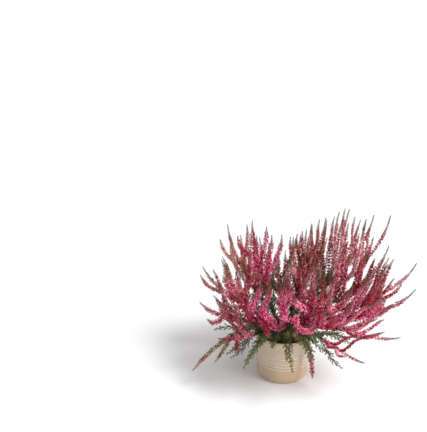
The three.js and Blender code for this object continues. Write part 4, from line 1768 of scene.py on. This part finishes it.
@dataclass
class Pot:
    """A thin tapered plastic pot with a band under its rim, fine raised rings and six drain holes."""

    material: bpy.types.Material
    height: float = 95.0
    rim_radius: float = 55.0
    rim_band: float = 9.0
    rim_step: float = 1.5
    rim_flare: float = 0.5
    rim_edge: float = 1.0
    foot_radius: float = 50.3
    foot_inset: float = 4.6
    foot_rounding: float = 14.0
    foot_points: int = 6
    wall: float = 1.6
    floor: float = 2.0
    ring_heights: tuple[float, ...] = (32.0, 39.0, 46.0, 57.0)
    ring_rise: float = 1.0
    ring_half_width: float = 1.6
    ring_points: int = 7
    ring_sharpness: float = 1.5
    drain_holes: int = 6
    drain_sides: int = 24
    drain_radius: float = 3.2
    drain_circle: float = 27.0
    steps: int = 96
    edge_radius: float = 0.45
    edge_angle: float = 0.5

    def wall_radius(self, z: float) -> float:
        """Gives the wall's outer radius at a height, below the rim's band.

        Args:
            z: The height in millimetres.

        Returns:
            The radius in millimetres.
        """
        straight = mix(self.foot_radius, self.rim_radius - self.rim_step, z / (self.height - self.rim_band))
        low = max(1.0 - z / self.foot_rounding, 0.0)
        return straight - self.foot_inset * (1.0 - math.sqrt(1.0 - low * low))

    def foot_heights(self, bottom: float) -> list[float]:
        """Lists heights up the rounded foot, closest together where it curves most."""
        shares = [n / self.foot_points for n in range(self.foot_points + 1)]
        return [mix(bottom, self.foot_rounding, share * share) for share in shares]

    def profile(self) -> list[tuple[float, float]]:
        """Lists the points of the pot's section, from under its middle round to above it.

        Returns:
            The radius and height of each, in millimetres.
        """
        band = self.height - self.rim_band
        inside = self.wall_radius(band) - self.wall
        points = [(0.0, 0.0)] + [(self.wall_radius(z), z) for z in self.foot_heights(0.0)]
        for z in self.ring_heights:
            for n in range(self.ring_points):
                share = n / (self.ring_points - 1) * 2.0 - 1.0
                swell = self.ring_rise * math.cos(share * math.pi / 2.0) ** self.ring_sharpness
                at = z + share * self.ring_half_width
                points.append((self.wall_radius(at) + swell, at))
        points += [
            (self.wall_radius(band), band),
            (self.rim_radius - self.rim_flare, band),
            (self.rim_radius, self.height - self.rim_edge),
            (self.rim_radius - self.rim_edge, self.height),
            (inside + self.rim_edge, self.height),
            (inside, band),
        ]
        points += [(self.wall_radius(z) - self.wall, z) for z in reversed(self.foot_heights(self.floor))]
        return points + [(0.0, self.floor)]

    def build(self) -> bpy.types.Object:
        """Builds the pot.

        Returns:
            The piece.
        """
        bm = spun(self.profile(), self.steps)
        sharp = [e for e in bm.edges if len(e.link_faces) == 2 and e.calc_face_angle() > self.edge_angle]
        bmesh.ops.bevel(
            bm,
            geom=sharp,
            offset=self.edge_radius * MM,
            affect="EDGES",
            segments=2,
            profile=0.5,
            material=-1,
            clamp_overlap=True,
        )
        piece = object_of(bm, "pot_shell", self.material)
        self._drill(piece)
        piece.data.shade_smooth()
        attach(piece, "root")
        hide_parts("pot")
        return piece

    def _drill(self, piece: bpy.types.Object) -> None:
        """Cuts the drain holes out of the floor.

        Args:
            piece: The pot.
        """
        bm = bmesh.new()
        for n in range(self.drain_holes):
            made = bmesh.ops.create_cone(
                bm,
                cap_ends=True,
                segments=self.drain_sides,
                radius1=self.drain_radius * MM,
                radius2=self.drain_radius * MM,
                depth=4.0 * self.floor * MM,
            )
            place = polar(360.0 * (n + 0.5) / self.drain_holes, self.drain_circle, self.floor / 2.0)
            bmesh.ops.translate(bm, vec=Vector(place * MM), verts=made["verts"])
        drill = object_of(bm, "drain_drill", self.material)
        cut = piece.modifiers.new("drains", "BOOLEAN")
        cut.operation, cut.solver, cut.object = "DIFFERENCE", "EXACT", drill
        view = bpy.context.evaluated_depsgraph_get()
        cut_mesh = bpy.data.meshes.new_from_object(piece.evaluated_get(view))
        piece.modifiers.clear()
        piece.data = cut_mesh
        bpy.data.objects.remove(drill)


def spun(profile: Sequence[tuple[float, float]], steps: int) -> bmesh.types.BMesh:
    """Spins a profile about the z axis.

    Args:
        profile: Radii and heights in millimetres.
        steps: Steps of a full turn.

    Returns:
        The closed shape, in metres.
    """
    bm = bmesh.new()
    verts = [bm.verts.new((r * MM, 0.0, z * MM)) for r, z in profile]
    edges = [bm.edges.new(pair) for pair in zip(verts, verts[1:])]
    bmesh.ops.spin(
        bm, geom=verts + edges, cent=(0, 0, 0), axis=(0, 0, 1), angle=FULL_TURN, steps=steps, use_merge=True
    )
    bmesh.ops.remove_doubles(bm, verts=bm.verts[:], dist=1e-6)
    bmesh.ops.recalc_face_normals(bm, faces=bm.faces[:])
    return bm


def object_of(bm: bmesh.types.BMesh, name: str, material: bpy.types.Material) -> bpy.types.Object:
    """Makes an object of a bmesh and frees the bmesh.

    Args:
        bm: The bmesh, in metres.
        name: The object's name.
        material: Its finish.

    Returns:
        The object, at the origin.
    """
    mesh = bpy.data.meshes.new(name)
    bm.to_mesh(mesh)
    bm.free()
    mesh.materials.append(material)
    made = bpy.data.objects.new(name, mesh)
    bpy.context.scene.collection.objects.link(made)
    return made


@dataclass
class Peat:
    """The plug of damp peat in the pot, uneven on top and strewn with crumbs, bark and fallen buds."""

    pot: Pot
    material: bpy.types.Material
    bark: bpy.types.Material
    bud: bpy.types.Material
    top: float = 86.0
    gap: float = 0.35
    shrinkage: float = 0.3
    rounding: float = 2.0
    rings: tuple[float, ...] = (46.5, 43.5, 40.0, 36.0, 32.0, 28.0, 24.0, 20.0, 16.0, 12.0, 8.0, 4.0)
    clod: float = 1.2
    steps: int = 72
    crumbs: int = 520
    chips: int = 60
    fallen: int = 70
    strewn_radius: float = 46.0
    crumb_size: tuple[float, float] = (0.5, 1.5)
    crumb_flatness: float = 0.8
    chip_length: tuple[float, float] = (3.0, 7.0)
    chip_radius: float = 0.5
    bud_length: float = 3.6
    bud_radius: float = 1.0

    def surface(self, x: float, y: float) -> float:
        """Gives the height of the peat at a place.

        Args:
            x: The place along x in millimetres.
            y: The place along y in millimetres.

        Returns:
            The height in millimetres.
        """
        waves = (math.sin(x * 0.43 + 1.0) * math.cos(y * 0.51) + math.sin((x + y) * 0.9)) / 2.0
        rough = noise.fractal(Vector((x * 0.16, y * 0.16, 3.0)), 0.8, 2.0, 4)
        return self.top + self.clod * (0.45 * waves + 0.55 * rough)

    def build(self) -> list[bpy.types.Object]:
        """Builds the plug and what lies on it.

        Returns:
            The pieces.
        """
        bottom = self.pot.floor + self.gap
        inset = self.pot.wall + self.gap + self.shrinkage
        shoulder = self.top - self.rounding
        high = self.pot.wall_radius(shoulder) - inset
        profile = [(0.0, bottom)]
        profile += [(self.pot.wall_radius(z) - inset, z) for z in self.pot.foot_heights(bottom)]
        profile += [(high, shoulder), (high - 0.7, self.top - 0.6)]
        profile += [(r, self.top) for r in self.rings] + [(0.0, self.top)]
        bm = spun(profile, self.steps)
        for v in bm.verts:
            if abs(v.co.z - self.top * MM) < 1e-6:
                v.co.z = self.surface(v.co.x / MM, v.co.y / MM) * MM
        plug = object_of(bm, "peat_plug", self.material)
        plug.data.shade_smooth()
        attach(plug, "root")
        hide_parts("soil")
        return [plug, self._litter()]

    def _litter(self) -> bpy.types.Object:
        """Strews crumbs, chips of bark and fallen buds over the peat.

        Returns:
            The piece.
        """
        rng = np.random.default_rng(5)
        sheaf = Sheaf("peat_litter")
        moulds = [Mould.crumb(seed) for seed in (1, 2, 3)]
        count = self.crumbs // len(moulds)
        for mould in moulds:
            base = self._spots(count, rng)
            size = rng.uniform(*self.crumb_size, count) ** 1.4
            along = rng.normal(size=(count, 3))
            tones = rng.uniform(0.0, 1.0, count)
            copies = Copies.row(base, along, size * self.crumb_flatness, size, tones, ripe=0.5)
            sheaf.stamp(mould, copies, self.material)
        base, along = self._lying(self.chips, 0.4, rng)
        lengths = rng.uniform(*self.chip_length, self.chips)
        chips = Copies.row(base, along, lengths, self.chip_radius, tone=0.5, ripe=0.2)
        sheaf.stamp(Mould.twig(4, 0.7), chips, self.bark)
        base, along = self._lying(self.fallen, 0.7, rng)
        tones = rng.uniform(0.0, 0.6, self.fallen)
        buds = Copies.row(base, along, self.bud_length, self.bud_radius, tones, ripe=0.7)
        sheaf.stamp(Mould.spindle(4, [(0.45, 1.0), (0.8, 0.68)]), buds, self.bud)
        piece = sheaf.piece()
        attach(piece, "root")
        return piece

    def _lying(self, count: int, above: float, rng: np.random.Generator) -> tuple[np.ndarray, np.ndarray]:
        """Draws places and nearly level directions for things that lie on the peat.

        Args:
            count: How many things there are.
            above: How far above the peat their axes lie.
            rng: Where the draws come from.

        Returns:
            The places and the directions, a row each.
        """
        base = self._spots(count, rng) + [0.0, 0.0, above]
        return base, rng.normal(size=(count, 3)) * np.array([1.0, 1.0, 0.25])

    def _spots(self, count: int, rng: np.random.Generator) -> np.ndarray:
        """Draws places on the peat.

        Args:
            count: How many places to draw.
            rng: Where the draws come from.

        Returns:
            The places, a row each.
        """
        distance = self.strewn_radius * np.sqrt(rng.uniform(0.0, 1.0, count))
        angle = rng.uniform(0.0, FULL_TURN, count)
        x, y = distance * np.cos(angle), distance * np.sin(angle)
        z = [self.surface(a, b) for a, b in zip(x, y)]
        return np.column_stack([x, y, z])


# ---- Studio ----


@dataclass
class Studio:
    """A plain pale floor, soft light from the right and above, and the camera."""

    camera_place: tuple[float, float, float] = (-0.1373, -1.2742, 0.8503)
    camera_pitch: float = 22.0
    focal_px: float = 744.0
    long_side_px: float = 432.0
    sensor: float = 36.0
    floor_radius: float = 30.0
    world_strength: float = 0.58
    sun_strength: float = 2.45
    sun_breadth: float = 24.0
    sun_way: tuple[float, float, float] = (-0.68, 0.2, -1.0)
    world_colour: Colour = (1.0, 1.0, 1.0, 1.0)
    key_place: tuple[float, float, float] = (1.3, -0.8, 0.6)
    key_aim: tuple[float, float, float] = (0.03, 0.0, 0.16)
    key_size: float = 0.6
    key_power: float = 11.0

    def build(self) -> None:
        """Builds the floor, the lights and the camera."""
        bm = bmesh.new()
        bmesh.ops.create_circle(bm, cap_ends=True, segments=96, radius=self.floor_radius)
        floor = object_of(bm, "studio_floor", FloorFinish("floor_paint").material())
        self._world()
        self._sun()
        self._key()
        self._camera()

    def _world(self) -> None:
        """Lights the studio evenly from all round."""
        world = bpy.data.worlds.new("studio_air")
        world.use_nodes = True
        background = world.node_tree.nodes["Background"]
        background.inputs["Color"].default_value = self.world_colour
        background.inputs["Strength"].default_value = self.world_strength
        bpy.context.scene.world = world

    def _sun(self) -> None:
        """Hangs a broad, far light up on the right, that lights the whole floor alike."""
        light = bpy.data.lights.new("sky_light", "SUN")
        light.energy, light.angle = self.sun_strength, math.radians(self.sun_breadth)
        lamp = bpy.data.objects.new("sky_light", light)
        lamp.rotation_euler = Vector(self.sun_way).to_track_quat("-Z", "Y").to_euler()
        bpy.context.scene.collection.objects.link(lamp)

    def _key(self) -> None:
        """Hangs a square light on the right that faces the plant."""
        light = bpy.data.lights.new("key_light", "AREA")
        light.shape, light.size, light.energy = "SQUARE", self.key_size, self.key_power
        lamp = bpy.data.objects.new("key_light", light)
        lamp.location = self.key_place
        way = Vector(self.key_aim) - Vector(self.key_place)
        lamp.rotation_euler = way.to_track_quat("-Z", "Y").to_euler()
        bpy.context.scene.collection.objects.link(lamp)

    def _camera(self) -> None:
        """Sets up the camera."""
        data = bpy.data.cameras.new("studio_camera")
        data.sensor_width = self.sensor
        data.lens = self.focal_px / self.long_side_px * self.sensor
        camera = bpy.data.objects.new("studio_camera", data)
        camera.location = self.camera_place
        camera.rotation_euler = (math.radians(90.0 - self.camera_pitch), 0.0, 0.0)
        bpy.context.scene.collection.objects.link(camera)
        bpy.context.scene.camera = camera


def main() -> None:
    """Builds the potted heather and its studio."""
    logging.basicConfig(level=logging.INFO, format="%(name)s: %(message)s")
    bpy.context.scene.view_settings.view_transform = "Standard"
    Studio().build()
    bark = BarkFinish("heather_bark").material()
    leaf = LeafFinish("heather_leaf").material()
    buds = {blush: blush.value.material() for blush in Blush}
    pot = Pot(PotFinish("taupe_plastic").material())
    pot.build()
    LOG.info("pot built")
    Peat(pot, PeatFinish("damp_peat").material(), bark, buds[Blush.CLARET]).build()
    LOG.info("peat built")
    layout = Layout(SPRAYS)
    LOG.info("layout: %d strands", len(layout.strands))
    stems = LeafyStem(layout, bark, leaf)
    spikes = FlowerSpikes(layout, bark, leaf, buds)
    for index in range(len(SPRAYS)):
        stems.build(index)
        spikes.build(index)


if __name__ == "__main__":
    main()
